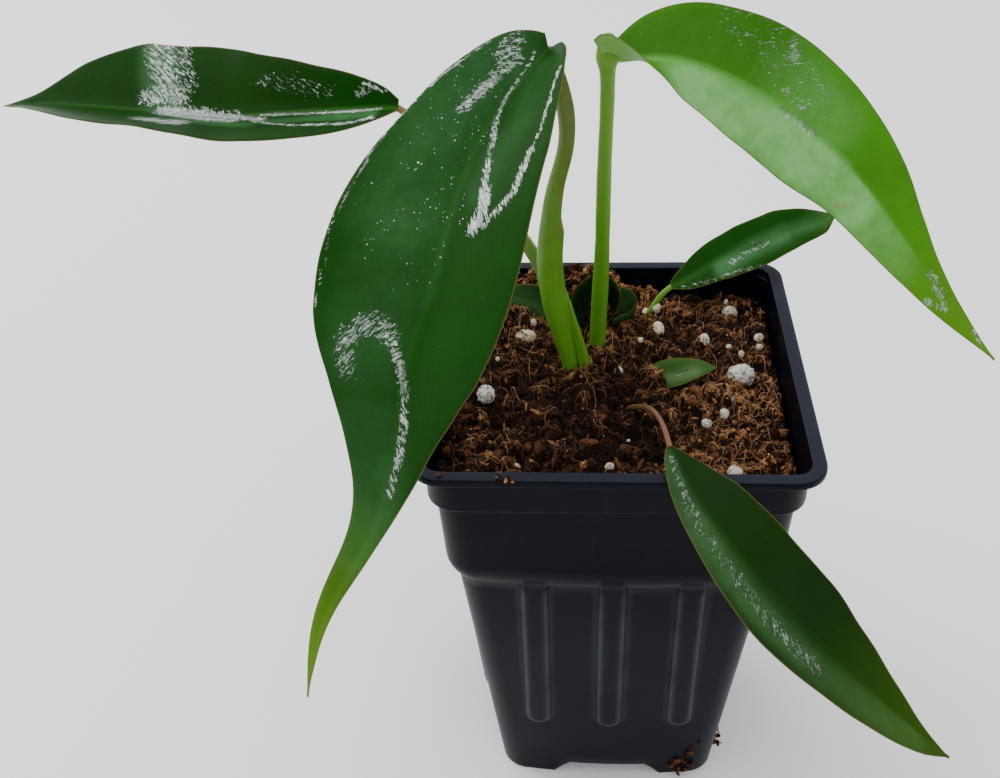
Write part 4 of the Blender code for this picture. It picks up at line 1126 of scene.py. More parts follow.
def shape_with(piece, cutter_parts, operation):
    """Joins simple solids to a piece or cuts them from it, and keeps only the result."""
    for points, faces in cutter_parts:
        mesh = bpy.data.meshes.new("cutter")
        mesh.from_pydata(points, [], faces)
        cutter = new_object("cutter", mesh)
        modifier = piece.modifiers.new("shape", "BOOLEAN")
        modifier.operation, modifier.solver, modifier.object = operation, "EXACT", cutter
        result = bpy.data.meshes.new_from_object(piece.evaluated_get(bpy.context.evaluated_depsgraph_get()))
        piece.modifiers.clear()
        piece.data = result
        bpy.data.objects.remove(cutter, do_unlink=True)


def make_pot():
    rings = pot_rings()
    count = len(rings[0])
    faces = [list(range(count))[::-1], [count * (len(rings) - 1) + k for k in range(count)]]
    faces += quad_faces(len(rings), count, closed=True).tolist()
    pot = add_piece("square_nursery_pot", np.concatenate(rings), faces, [pot_plastic()],
                    ["pot"], sharp=None)
    turn_outwards(pot)
    shape_with(pot, [upright(0, 0, PAD_RADIUS, 0, FLOOR_LOW + PAD_OVERLAP)], "UNION")
    drains = [upright(x * DRAIN_PLACE, y * DRAIN_PLACE, DRAIN_RADIUS, FLOOR_LOW - DRAIN_SPARE,
                      FLOOR_TOP + DRAIN_SPARE) for x in (-1, 1) for y in (-1, 1)]
    shape_with(pot, drains, "DIFFERENCE")
    points = np.empty(3 * len(pot.data.vertices))
    pot.data.vertices.foreach_get("co", points)
    # where a pale highlight is painted on the rib edges
    worn = pot.data.attributes.new("worn", "FLOAT", "POINT")
    worn.data.foreach_set("value", rib_highlight(points.reshape(-1, 3)))
    pot.data.shade_smooth()
    pot.data.set_sharp_from_angle(angle=math.radians(38))


# Potting mix

def soil_lumps():
    """Place, spread and lift of each lump or dip in the surface of the mix."""
    chance = random.Random(LUMP_SEED)
    limits = ((-LUMP_REACH, LUMP_REACH), (-LUMP_REACH, LUMP_REACH), LUMP_WIDE, (-LUMP_HIGH, LUMP_HIGH))
    return np.array([[chance.uniform(*limit) for limit in limits] for _ in range(LUMPS)])


def soil_height(x, y, lumps):
    """Height of the mix: a little higher towards the back, lower at the wall, with lumps that end there."""
    edge = np.maximum(np.abs(x), np.abs(y)) / COLLAR_HALF
    height = SOIL_HIGH + SOIL_BACK * np.maximum(0, y / COLLAR_HALF) - SOIL_EDGE * edge ** SOIL_EDGE_POWER
    for centre_x, centre_y, spread, lift in lumps:
        near = np.exp(-((x - centre_x) ** 2 + (y - centre_y) ** 2) / spread ** 2)
        height = height + lift * near * (1 - edge ** SOIL_EDGE_POWER)
    return height


def soil_grid():
    """Plan of the mix as a grid, its corners drawn in round, and the height of each point."""
    half = COLLAR_HALF - WALL - SOIL_GAP
    radius = CORNER - WALL
    line = np.linspace(-half, half, SOIL_STEPS)
    x, y = np.meshgrid(line, line)
    a, b = np.abs(x) - (half - radius), np.abs(y) - (half - radius)
    corner = (a > 0) & (b > 0)
    a, b = a / radius, b / radius
    round_x = np.sign(x) * (half - radius + radius * a * np.sqrt(np.maximum(0, 1 - b * b / 2)))
    round_y = np.sign(y) * (half - radius + radius * b * np.sqrt(np.maximum(0, 1 - a * a / 2)))
    x, y = np.where(corner, round_x, x), np.where(corner, round_y, y)
    height = soil_height(x, y, soil_lumps())
    for centre_x, centre_y, wide, deep, lift in HEAPS:
        height += lift * MM * np.exp(-((x / MM - centre_x) / wide) ** 2 - ((y / MM - centre_y) / deep) ** 2)
    for i in range(SOIL_STEPS):
        for j in range(SOIL_STEPS):
            spot = Vector((x[i, j], y[i, j], 0)) * 1000
            clumps = min(1, 2.6 * abs(noise.fractal(spot * CLUMP_RATE, 0.9, 2.1, 3))) * SOIL_BROAD
            crumbs = noise.turbulence(spot * CRUMB_RATE, 3, True) * SOIL_CRUMBLY
            height[i, j] += (clumps + crumbs - SOIL_DROP) * MM
    return x, y, height


def make_soil():
    x, y, height = soil_grid()
    top = np.stack([x, y, height], axis=-1).reshape(-1, 3)
    faces = quad_faces(SOIL_STEPS, SOIL_STEPS)[:, ::-1].tolist()
    loop = grid_outline(SOIL_STEPS, SOIL_STEPS)
    vertices = [top]
    outline = top[loop]
    for low in (COLLAR_LOW, BAND_LOW, BODY_TOP, FLOOR_TOP + SOIL_GAP):
        scale = (wall_half(low) - WALL - SOIL_GAP) / (COLLAR_HALF - WALL - SOIL_GAP)
        ring = outline * (scale, scale, 0)
        ring[:, 2] = low
        start = sum(len(part) for part in vertices)
        below = list(range(start, start + len(loop)))
        faces += [[loop[k - 1], below[k - 1], below[k], loop[k]] for k in range(len(loop))]
        vertices.append(ring)
        loop = below
    faces.append(loop)
    # the body of the mix is dark: painted shade in the voids between the crumbs
    soil = add_piece("potting_mix_body", np.concatenate(vertices), faces,
                     [peat("damp_peat", BODY_TONE)], ["soil"], sharp=None)
    turn_outwards(soil)
    return x, y, height


def height_reader(grid):
    """Function that gives the height of the mix at many places at once."""
    line = np.linspace(grid[0].min(), grid[0].max(), SOIL_STEPS)

    def read(x, y):
        column = np.clip(np.interp(x, line, np.arange(SOIL_STEPS)), 0, SOIL_STEPS - 1.001)
        row = np.clip(np.interp(y, line, np.arange(SOIL_STEPS)), 0, SOIL_STEPS - 1.001)
        i, j = row.astype(int), column.astype(int)
        down, across = row - i, column - j
        z = grid[2]
        return ((1 - down) * ((1 - across) * z[i, j] + across * z[i, j + 1])
                + down * ((1 - across) * z[i + 1, j] + across * z[i + 1, j + 1]))
    return read


def ball(subdivisions):
    """Points and triangles of a round ball of radius 1."""
    shape = bmesh.new()
    bmesh.ops.create_icosphere(shape, subdivisions=subdivisions, radius=1)
    points = np.array([vertex.co for vertex in shape.verts])
    faces = np.array([[vertex.index for vertex in face.verts] for face in shape.faces])
    shape.free()
    return points, faces


def random_turns(chance, count):
    """Rotation matrices, evenly spread over all directions."""
    q = chance.normal(size=(count, 4))
    w, x, y, z = (q / np.linalg.norm(q, axis=1)[:, None]).T
    rows = [[1 - 2 * (y * y + z * z), 2 * (x * y - z * w), 2 * (x * z + y * w)],
            [2 * (x * y + z * w), 1 - 2 * (x * x + z * z), 2 * (y * z - x * w)],
            [2 * (x * z - y * w), 2 * (y * z + x * w), 1 - 2 * (x * x + y * y)]]
    return np.moveaxis(np.array(rows), -1, 0)


def lumpy_bits(chance, centres, sizes, subdivisions, uneven):
    """Many uneven bits, each squeezed, turned and roughened in its own way: points, faces, points in each."""
    points, faces = ball(subdivisions)
    count = len(centres)
    rates = chance.normal(size=(count, 3, 3)) * BIT_WAVES
    starts = chance.uniform(0, BIT_PHASES, size=(count, 3))
    swell = 1 + uneven * np.sin(np.einsum("nwk,vk->nvw", rates, points) + starts[:, None]).sum(axis=2)
    swell = swell * (1 + uneven * BIT_ROUGH * chance.uniform(-1, 1, size=swell.shape))
    shaped = points[None] * swell[:, :, None] * (sizes / 2)[:, None, :]
    shaped = np.einsum("nij,nvj->nvi", random_turns(chance, count), shaped) + centres[:, None]
    shift = (np.arange(count) * len(points))[:, None, None]
    return shaped.reshape(-1, 3), (faces[None] + shift).reshape(-1, 3), len(points)


def add_bits(name, bits, tone, finish=None, sharp=35):
    """Piece of many bits of mix, each in one tone."""
    vertices, faces, each = bits
    add_piece(name, vertices, faces, [finish or peat(name + "_surface")],
              attributes={"tone": np.repeat(tone, each)}, sharp=sharp)


def spread_places(chance, count, reach):
    """Places scattered over the mix, in no row. Some are drawn in vain, in its round corners."""
    spots = chance.uniform(-reach, reach, size=(int(count * 1.1) + 20, 2))
    over = np.maximum(np.abs(spots) - (reach - CLEAR_CORNER), 0)
    return spots[np.hypot(over[:, 0], over[:, 1]) < CLEAR_CORNER][:count].T


def crumb_tone(chance, read, x, y, usual):
    """Tone of crumbs: darker low in the cracks and paler high on heaps, as painted shade and light; darker in
    the damp patch, paler in the dry corner.
    """
    proud = (read(x, y) - SOIL_HIGH) / MM
    centre_x, centre_y, wide, deep = DAMP_PATCH
    damp = np.exp(-((x / MM - centre_x) / wide) ** 2 - ((y / MM - centre_y) / deep) ** 2)
    left, wide, back, deep = DRY_CORNER
    dry = TONE_DRY * smoothstep((x / MM - left) / wide) * smoothstep((back - y / MM) / deep)
    tone = chance.normal(usual, TONE_SPREAD, len(x)) + PAINTED_SHADE_RISE * np.clip(proud, -3, 2.2)
    return np.clip(tone - TONE_DAMP * damp + dry, 0, PALEST)


def make_crumbs(read):
    """Clods, shreds and crumbs of peat and coir, from dark and damp, or low with painted shade, to dry and
    red-brown.
    """
    chance = np.random.default_rng(CRUMB_SEED)
    for name, number, size_range, least, most, rise, detail, uneven, usual, palest in CRUMB_KINDS:
        count = getattr(bpy.context.scene.philodendron_mix, number)
        x, y = spread_places(chance, count, COLLAR_HALF - WALL - CRUMBS_CLEAR)
        size = size_range[0] + (size_range[1] - size_range[0]) * chance.power(0.55, len(x))
        sizes = size[:, None] * chance.uniform(least, most, (len(x), 3)) * MM
        lift = rise * size * MM * chance.uniform(0, 1, len(x))
        bits = lumpy_bits(chance, np.stack([x, y, read(x, y) + lift], axis=1), sizes, detail, uneven)
        add_bits(name, bits, np.minimum(crumb_tone(chance, read, x, y, usual), palest))


def make_heap_crumbs(read):
    """Dry crumbs and shreds thrown up against the back wall behind the stalks."""
    chance = np.random.default_rng(CRUMB_SEED + 1)
    across, deep, count = HEAP_CRUMBS
    x = chance.uniform(*across, count) * MM
    y = chance.uniform(*deep, count) * MM
    size = 0.7 + 1.9 * chance.power(0.6, count)
    sizes = size[:, None] * chance.uniform((0.7, 0.3, 0.25), (1.4, 0.9, 0.7), (count, 3)) * MM
    centres = np.stack([x, y, read(x, y) + 0.3 * size * MM * chance.uniform(0, 1, count)], axis=1)
    bits = lumpy_bits(chance, centres, sizes, 1, 0.16)
    add_bits("heaped_crumbs", bits, np.clip(chance.normal(0.62, 0.22, count), 0, PALEST))


def make_stuck_dirt():
    """Clumps of mix that stick to the lower right corner of the pot and a few crumbs on its rim."""
    chance = np.random.default_rng(CRUMB_SEED + 2)
    clumps = np.repeat(np.array(STUCK_DIRT), STUCK_BITS, axis=0)
    count = len(clumps)
    size = clumps[:, 3] * chance.uniform(0.25, 0.6, count)
    centres = clumps[:, :3] + chance.normal(0, 0.27, (count, 3)) * clumps[:, 3:] * (1, 0.5, 1)
    centres[:, 2] = np.maximum(centres[:, 2], 0.85 * size)
    sizes = size[:, None] * chance.uniform((0.7, 0.4, 0.4), (1.3, 1, 1), (count, 3))
    bits = lumpy_bits(chance, centres * MM, sizes * MM, 2, 0.16)
    add_bits("stuck_dirt", bits, np.clip(chance.normal(0.3, 0.26, count), 0, PALEST))


def make_bark(read):
    points, triangles = ball(4)
    parts = []
    for x, y, length, width, high, turn, tone in BARK:
        shaped = np.sign(points) * np.abs(points) ** BARK_SQUARE
        rough = np.array([noise.fractal(Vector(point) * 2.4 + Vector((x, y, 0)), 0.8, 2.1, 4)
                          for point in points])
        shaped = shaped * (1 + BARK_ROUGH * rough[:, None]) * np.array((length, width, high)) / 2 * MM
        cosine, sine = math.cos(math.radians(turn)), math.sin(math.radians(turn))
        long, wide, tall = shaped.T
        shaped = np.stack([long * cosine - wide * sine, long * sine + wide * cosine, tall + BARK_TILT * long],
                          axis=1)
        base = float(read(x * MM, y * MM))
        parts.append((shaped + (x * MM, y * MM, base + BARK_RISE * high * MM), triangles, tone))
    add_joined("bark_chips", parts, peat("bark_chip", lift=2), 45)


def fibre_tubes(chance, starts, lengths, radii, steps, sides, lie, curl, read):
    """Thin curled fibres: each wanders from its start, rises a little and lies down again."""
    count = len(starts)
    heading = chance.uniform(0, 2 * math.pi, count)
    turn_rate = chance.normal(0, curl, count)
    path = np.zeros((count, steps, 3))
    path[:, 0, :2] = starts
    for k in range(1, steps):
        turn_rate = turn_rate + chance.normal(0, curl * 0.5, count)
        heading = heading + turn_rate * lengths / MM / steps
        path[:, k, 0] = path[:, k - 1, 0] + np.cos(heading) * lengths / steps
        path[:, k, 1] = path[:, k - 1, 1] + np.sin(heading) * lengths / steps
    limit = COLLAR_HALF - WALL - FIBRE_ENDS_CLEAR
    path[:, :, :2] = np.clip(path[:, :, :2], -limit, limit)
    share = np.linspace(0, 1, steps)[None]
    arch = np.sin(share * math.pi) * chance.uniform(-0.2, 1, count)[:, None] * lie
    ripple = chance.normal(0, FIBRE_RIPPLE, (count, steps)) * MM
    path[:, :, 2] = read(path[:, :, 0], path[:, :, 1]) + arch + ripple + FIBRE_RISE
    ahead = unit(np.gradient(path, axis=1))
    across = unit(np.cross(ahead, (0, 0, 1)))
    deep = np.cross(ahead, across)
    turns = np.linspace(0, 2 * math.pi, sides, endpoint=False)[:, None]
    taper = (radii[:, None] * np.minimum(1, 2.2 * np.minimum(share + 0.12, 1.12 - share)))[:, :, None, None]
    rings = np.cos(turns) * across[:, :, None] + np.sin(turns) * deep[:, :, None]
    rings = path[:, :, None] + taper * rings
    shift = (np.arange(count) * steps * sides)[:, None, None]
    faces = quad_faces(steps, sides, closed=True)[None] + shift
    return rings.reshape(-1, 3), faces.reshape(-1, 4), steps * sides


def make_fibres(read):
    """Coir and fine roots over the mix: many short ones, fewer long curls, orange-brown to pale tan."""
    total = bpy.context.scene.philodendron_mix.fibres
    chance = np.random.default_rng(FIBRE_SEED)
    for name, share, length, radius, steps, sides, lie, curl in FIBRE_KINDS:
        x, y = spread_places(chance, int(total * share), COLLAR_HALF - WALL - FIBRES_CLEAR)
        lengths = chance.uniform(*length, len(x)) * MM
        radii = chance.uniform(*radius, len(x)) * MM
        starts = np.stack([x, y], axis=1)
        tubes = fibre_tubes(chance, starts, lengths, radii, steps, sides, lie * MM, curl, read)
        tone = crumb_tone(chance, read, x, y, FIBRE_TONE)
        add_bits(name, tubes, tone, peat(name, specular=0.2, roughness=0.7), sharp=None)


# Perlite

def perlite_grain(x, y, z, sizes, detail, seed):
    """Puffed grain: a rounded lump with flats, pits and burst bubbles. Points and faces."""
    points, faces = ball(detail)
    chance = np.random.default_rng(seed)
    lumps = [noise.fractal(Vector(point) * 1.5 + Vector((seed, 0, 0)), 0.9, 2, 3) for point in points]
    radius = 1 + 0.1 * np.array(lumps)
    for _ in range(GRAIN_FLATS):
        way = unit(chance.normal(size=3))
        reach = chance.uniform(0.84, 0.98)
        facing = points @ way
        radius = np.where(facing * radius > reach, reach / np.maximum(facing, 0.3), radius)
    for _ in range(GRAIN_PITS):
        way = unit(chance.normal(size=3))
        wide = chance.uniform(0.1, 0.3)
        apart = np.linalg.norm(points - way, axis=1) / wide
        pit = PIT_DEPTH * wide * np.sqrt(np.maximum(0, 1 - apart ** 2))
        radius -= pit - PIT_LIP * np.exp(-((apart - 1.1) / 0.15) ** 2)
    shaped = points * radius[:, None] * np.asarray(sizes) / 2 * MM
    return shaped + (x * MM, y * MM, z), faces


def make_perlite(read):
    white = chalk()
    for seed, (name, (x, y, width, length, height)) in enumerate(GRAINS.items()):
        points, faces = perlite_grain(x, y, SOIL_HIGH + GRAIN_RISE, (width, length, height), 5, seed + 3)
        tone = 0.8 if name in CREAM_GRAINS else 0.1
        add_piece(name + "_grain", points, faces, [white], [name],
                  attributes={"tone": np.full(len(points), tone)}, sharp=60)
    chance = random.Random(TINY_SEED)
    limits = ((-TINY_REACH, TINY_REACH), (-TINY_REACH, TINY_REACH), TINY_WIDTH)
    spots = SMALL_GRAINS + [[chance.uniform(*limit) for limit in limits] for _ in range(TINY_GRAINS)]
    parts = []
    for seed, (x, y, width) in enumerate(spots):
        base = float(read(x * MM, y * MM))
        sizes = [width * chance.uniform(0.8, 1.25) for _ in range(3)]
        detail = 4 if width > 1.3 else 2
        grain = perlite_grain(x, y, base + 0.22 * width * MM, sizes, detail, seed + 20)
        parts.append((*grain, chance.uniform(0, 0.7)))
    add_joined("small_perlite_grains", parts, white, 60)


# Blades

def blade_surface(spec):
    """Middle surface of a blade, and for each point its row's share, its place along and across in mm."""
    rib, share = smooth_curve(spec["rib"], spec["rows"], 1.2)
    length = lengths_along(rib)
    ahead = unit(np.gradient(rib, axis=0))
    facing = np.asarray(spec["facing"], float)
    face = unit(facing - (ahead @ facing)[:, None] * ahead)
    aside = np.cross(ahead, face)
    roll = np.radians(smooth_values(*zip(*spec["roll"]), share))
    cosine, sine = np.cos(roll)[:, None], np.sin(roll)[:, None]
    face, aside = cosine * face + sine * aside, cosine * aside - sine * face
    halves = spec["halves"]
    grid = np.zeros((spec["rows"], 2 * halves + 1, 3))
    across = np.zeros(grid.shape[:2])
    edge = np.zeros(grid.shape[:2])
    swell, waves = spec["wave"]
    calm = np.sin(math.pi * share) ** 0.7
    turns = math.pi * waves * share
    ripples = {sign: np.sin(2 * turns + sign * 1.3) + 0.5 * np.sin(5.2 * turns + sign) for sign in (-1, 1)}
    for sign, side, lobe in ((-1, "left", spec["lobes"][0]), (1, "right", spec["lobes"][1])):
        width = np.maximum(smooth_values(spec["at"], spec[side], share), TIP_HALF)
        fold = np.radians(smooth_values(*zip(*spec.get("fold_" + side, spec.get("fold"))), share))
        back = lobe * np.clip(1 - share / spec["reach"], 0, 1) ** 2
        soft = np.minimum(RIB_BEND, 0.3 * width)
        kept = width / (np.hypot(width, soft) - soft)
        for k in range(halves + 1):
            out = (k / halves) ** 0.9
            angles = fold[:, None] + math.radians(spec["curl"]) * out * np.linspace(0, 1, CURL_STEPS)[None]
            flat = np.cos(angles).mean(axis=1) * out * width
            rise = np.sin(angles).mean(axis=1) * (np.hypot(out * width, soft) - soft) * kept
            rise = rise + swell * calm * out ** MARGIN_POWER * ripples[sign]
            behind = back * out ** LOBE_POWER
            place = rib + sign * flat[:, None] * aside + rise[:, None] * face - behind[:, None] * ahead
            grid[:, halves + sign * k] = place
            across[:, halves + sign * k] = sign * out * width
            edge[:, halves + sign * k] = (1 - out) * width
    along = np.broadcast_to(length[:, None], across.shape)
    end = np.minimum(edge, (length[-1] - along) * 0.35 + TIP_HALF)
    return grid, share, along, across, end


def place_on(spec, length, spot):
    """Place in mm along and across a blade, from its shares of the way to the tip and to the margin."""
    share, out = spot
    width = smooth_values(spec["at"], spec["right" if out > 0 else "left"], np.array([share]))[0]
    return np.array((share * length, out * float(width)))


def stroke_strength(spec, kind, along, across, one_sided=False):
    """How strong one kind of strokes on a blade is at each point: soft bands along lines of places.

    A one-sided stroke that lies well on one half of the blade ends at the midrib.
    """
    spots = np.stack([along, across], axis=-1)
    strength = np.zeros(across.shape)
    for half, peak, line in spec[kind]:
        corners = [place_on(spec, along.max(), spot) for spot in line]
        sides = [out for _, out in line]
        side = 1 if min(sides) > NEAR_RIB else -1 if max(sides) < -NEAR_RIB else 0
        kept = smoothstep(0.5 + side * across / RIB_SOFT) if one_sided and side else 1
        for start, end in zip(corners, corners[1:]):
            leg = end - start
            part = np.clip((spots - start) @ leg / (leg @ leg), 0, 1)
            apart = np.linalg.norm(spots - start - part[..., None] * leg, axis=-1)
            strength = np.maximum(strength, kept * peak * smoothstep(1.25 - apart / half))
    return strength


def scar_strength(spec, along, across):
    """How scarred or dry each point is."""
    strength = np.zeros(across.shape)
    for share, out, wide in spec["scars"]:
        place = place_on(spec, along.max(), (share, out))
        apart = np.hypot(along - place[0], across - place[1])
        strength = np.maximum(strength, smoothstep(1.4 - apart / wide))
    return strength


def sheet(grid, along, across, edge, ribbed):
    """Upper and lower face of a thin blade with midrib and thin margin, and how many faces its top has."""
    rows, columns = grid.shape[:2]
    normal = grid_normals(grid)
    thin, margin = THIN_MARGIN
    half = BLADE_HALF_THICK * (thin + (1 - thin) * smoothstep(edge / margin))
    top, under = half.copy(), half.copy()
    if ribbed:
        off = np.abs(across)
        fade = smoothstep((along.max() - along) / RIB_FADE) * 0.75 + 0.25
        height, place, wide = RIB_SHOULDER
        top -= RIB_GROOVE[0] * fade * np.exp(-(off / RIB_GROOVE[1]) ** 2)
        top += height * fade * np.exp(-((off - place) / wide) ** 2)
        under += RIB_RIDGE[0] * fade * np.exp(-(off / RIB_RIDGE[1]) ** 2)
    sides = (grid + normal * top[..., None], grid - normal * under[..., None])
    vertices = np.concatenate([side.reshape(-1, 3) for side in sides]) * MM
    count = rows * columns
    front = quad_faces(rows, columns)
    loop = grid_outline(rows, columns)
    rim = [[loop[k - 1], loop[k], loop[k] + count, loop[k - 1] + count] for k in range(len(loop))]
    return vertices, front[:, ::-1].tolist() + (front + count).tolist() + rim, len(front)


def side_relief(spec, along, across, edge):
    """Pillows between the side veins, in mm."""
    pitch, slant = spec["veins"][:2]
    off = np.abs(across)
    phase = (along - slant * off ** VEIN_BEND) / pitch
    fade = smoothstep((off - 0.5) / 3) * smoothstep(edge / 4)
    return VEIN_RELIEF * fade * np.cos(2 * math.pi * phase)


def add_blade(name, grid, values, materials, nodes, ribbed=True):
    """Blade with its face and underside. Values are what the materials read from each of its points."""
    vertices, faces, front_count = sheet(grid, values["along"], values["rib"], values["edge"], ribbed=ribbed)
    attributes = {label: np.tile(np.asarray(value, float).ravel(), 2) for label, value in values.items()}
    piece = add_piece(name, vertices, faces, materials, nodes, attributes, sharp=None)
    index = np.ones(len(piece.data.polygons), np.int32)
    index[:front_count] = 0
    piece.data.polygons.foreach_set("material_index", index)
    piece.data.update()


def make_blade(name):
    spec = {**BLADE_USUAL, **BLADES[name]}
    grid, share, along, across, edge = blade_surface(spec)
    grid = grid + grid_normals(grid) * side_relief(spec, along, across, edge)[..., None]
    values = {
        "along": along, "rib": np.abs(across), "edge": edge, "side": np.sign(across),
        "tip": np.broadcast_to(share[:, None], across.shape),
        "wet": stroke_strength(spec, "wet", along, across),
        "bloom": stroke_strength(spec, "bloom", along, across, one_sided=True),
        "scar": scar_strength(spec, along, across),
        "shade": stroke_strength(spec, "shade", along, across, one_sided=True),
    }
    materials = [blade_face(name + "_face", spec), blade_back(name + "_underside", spec)]
    add_blade(name.replace("leaf", "blade"), grid, values, materials, [name])


def roll_sheet(points, rows, columns, inward, narrowing, power):
    """Grid that runs inward from a line while it narrows, with its measures along and inward in mm."""
    line, _ = smooth_curve(points, rows)
    middle = line.mean(axis=0)
    depth = np.linspace(0, 1, columns) ** power
    narrow = 1 - narrowing * smoothstep(depth)
    grid = middle + (line - middle)[:, None] * narrow[None, :, None] + depth[None, :, None] * np.array(inward)
    along = np.broadcast_to(lengths_along(line)[:, None], grid.shape[:2])
    deep = depth[None] * np.linalg.norm(inward) + np.zeros((rows, 1))
    wave = 0.22 * np.sin(along * 0.9) * np.exp(-deep / 3) + 0.12 * np.sin(along * 2.3 + deep)
    return grid + wave[..., None] * np.array((0, 0.5, 0.5)), along, deep


def make_rolled_leaf():
    """The old leaf rolled into a cup, thin and dull, with painted sheen along its edge and a loose flap beside
    the opening.
    """
    pieces = (
        ("rolled_old_leaf", ROLL_EDGE, ROLL_INWARD, 0.45, 1.3, ["leaf_rolled_back"]),
        ("rolled_old_leaf_flap", FLAP_EDGE, FLAP_INWARD, 0.25, 1, []),
    )
    materials = [blade_face("rolled_leaf_face", ROLL_LOOK), blade_back("rolled_leaf_underside", ROLL_LOOK)]
    for name, line, inward, narrowing, power, nodes in pieces:
        grid, along, deep = roll_sheet(line, ROLL_ROWS, ROLL_COLUMNS, inward, narrowing, power)
        values = dict.fromkeys(("side", "tip", "wet", "scar", "shade"), np.zeros(grid.shape[:2]))
        # painted sheen along the rolled leaf's edge
        values.update(along=along, edge=np.minimum(deep, np.minimum(along, along.max() - along)),
                      rib=np.full(grid.shape[:2], ROLL_RIB), bloom=0.5 * smoothstep(1 - deep / 4))
        add_blade(name, grid, values, materials, nodes, ribbed=False)


# Stalks

def make_stalk(name):
    spec = STALKS[name]
    path, share = smooth_curve(spec["path"], spec["rows"])
    radii = smooth_values(knot_shares(spec["path"]), spec["radius"], share)
    radii = radii * (1 + 0.02 * np.sin(share * 23) + 0.012 * np.sin(share * 61))
    ahead = unit(np.gradient(path, axis=0))
    across = unit(np.array((1, 0, 0)) - ahead[:, :1] * ahead)
    deep = np.cross(ahead, across)
    turns = np.linspace(0, 2 * math.pi, STALK_SIDES, endpoint=False)
    depth, side = spec["groove"]
    off = np.abs((turns - math.radians(side) + math.pi) % (2 * math.pi) - math.pi)
    shape = 1 - depth * np.exp(-(off / 0.42) ** 2) + 0.4 * depth * np.exp(-((off - 0.85) / 0.3) ** 2)
    rings = radii[:, None] * shape[None]
    if "wing" in spec:
        wing_side, height, low, high = spec["wing"]
        off = np.abs((turns - math.radians(wing_side) + math.pi) % (2 * math.pi) - math.pi)
        length = smoothstep((share - low) / 0.08) * smoothstep((high - share) / 0.05)
        rings = rings + height * length[:, None] * np.exp(-(off / WING_SPREAD) ** 2)[None]
    wide = rings * np.cos(turns) * spec.get("flat", 1)
    tall = rings * np.sin(turns)
    points = path[:, None] + wide[..., None] * across[:, None] + tall[..., None] * deep[:, None]
    vertices = points.reshape(-1, 3) * MM
    faces = quad_faces(spec["rows"], STALK_SIDES, closed=True).tolist()
    last = (spec["rows"] - 1) * STALK_SIDES
    faces += [list(range(STALK_SIDES))[::-1], [last + k for k in range(STALK_SIDES)]]
    along = np.repeat(share, STALK_SIDES)
    old = np.zeros(spec["rows"])
    for low, high in spec.get("corky", ()):
        old = np.maximum(old, smoothstep((share - low) / 0.02) * smoothstep((high - share) / 0.02))
    values = {"along": along, "old": np.repeat(old, STALK_SIDES)}
    made = [stalk_skin(name + "_skin", spec["look"])]
    turn_outwards(add_piece(name + "_stalk", vertices, faces, made, [name], values, sharp=60))


# Stage

def softbox(name, azimuth, elevation, distance, size, radiance, centre=(0, 0, 0.14)):
    """Square light round the plant. Azimuth 0 is behind it and 90 to its right, in degrees."""
    turn, up = math.radians(azimuth), math.radians(elevation)
    away = Vector((math.sin(turn) * math.cos(up), math.cos(turn) * math.cos(up), math.sin(up)))
    light = bpy.data.lights.new(name, "AREA")
    light.shape, light.size, light.energy = "SQUARE", size, math.pi * radiance * size * size
    lamp = new_object(name, light)
    lamp.location = Vector(centre) + away * distance
    lamp.rotation_mode = "QUATERNION"
    lamp.rotation_quaternion = (-away).to_track_quat("-Z", "Y")


def make_camera():
    down, turn, roll = (math.radians(angle) for angle in (CAMERA_DOWN, CAMERA_TURN, CAMERA_ROLL))
    ahead = Vector((math.sin(turn) * math.cos(down), math.cos(turn) * math.cos(down), -math.sin(down)))
    right = Vector((math.cos(turn), -math.sin(turn), 0))
    up = right.cross(ahead)
    right, up = (math.cos(roll) * right + math.sin(roll) * up, math.cos(roll) * up - math.sin(roll) * right)
    data = bpy.data.cameras.new("camera")
    data.lens, data.sensor_width, data.sensor_fit = CAMERA_LENS, CAMERA_SENSOR, "HORIZONTAL"
    data.clip_start, data.clip_end = CAMERA_CLIP
    camera = new_object("camera", data)
    camera.matrix_world = Matrix.Translation(CAMERA_PLACE) @ Matrix((right, up, -ahead)).transposed().to_4x4()
    bpy.context.scene.camera = camera


def make_stage():
    settings = bpy.context.scene.philodendron_stage
    make_camera()
    half = settings.floor_size / 2
    mesh = bpy.data.meshes.new("floor")
    corners = [(-half, -half, 0), (half, -half, 0), (half, half, 0), (-half, half, 0)]
    mesh.from_pydata(corners, [], [range(4)])
    floor = new_object("floor", mesh)
    made, tree, shader = new_material("pale_floor", specular=0.2)
    soft = noise_value(places(tree), 3, 2)
    colour = mix(soft, settings.floor_colour, shaded(settings.floor_colour, 0.985))
    finish_surface(shader, colour, 0.7, noise_value(places(tree), 900, 2), 0.05)
    mesh.materials.append(made)
    world = bpy.data.worlds.new("studio")
    world.use_nodes = True
    sky = world.node_tree.nodes["Background"]
    sky.inputs["Color"].default_value = (*settings.sky_colour, 1)
    sky.inputs["Strength"].default_value = settings.sky_strength
    bpy.context.scene.world = world
    strength = settings.light_strength
    softbox("overhead_softbox", -60, 68, 1.2, 1.2, 2.6 * strength)
    softbox("left_window", -70, 30, 1.3, 0.5, 7 * strength)
    softbox("front_fill", 150, 38, 1.5, 0.9, 1.4 * strength)
    softbox("backdrop_left", -35, 14, 1.6, 0.9, 2 * strength)
    softbox("backdrop_right", 40, 14, 1.6, 0.9, 2 * strength)


# Settings that a user would change

def colour_setting(name, description, default):
    return bpy.props.FloatVectorProperty(name=name, description=description, default=default, size=3, min=0,
                                         max=1, subtype="COLOR")


def share_setting(name, description, default, highest=1):
    return bpy.props.FloatProperty(name=name, description=description, default=default, min=0, max=highest,
                                   subtype="FACTOR")


def count_setting(name, description, default):
    return bpy.props.IntProperty(name=name, description=description, default=default, min=0)


def strength_setting(name, description, default):
    return bpy.props.FloatProperty(name=name, description=description, default=default, min=0)


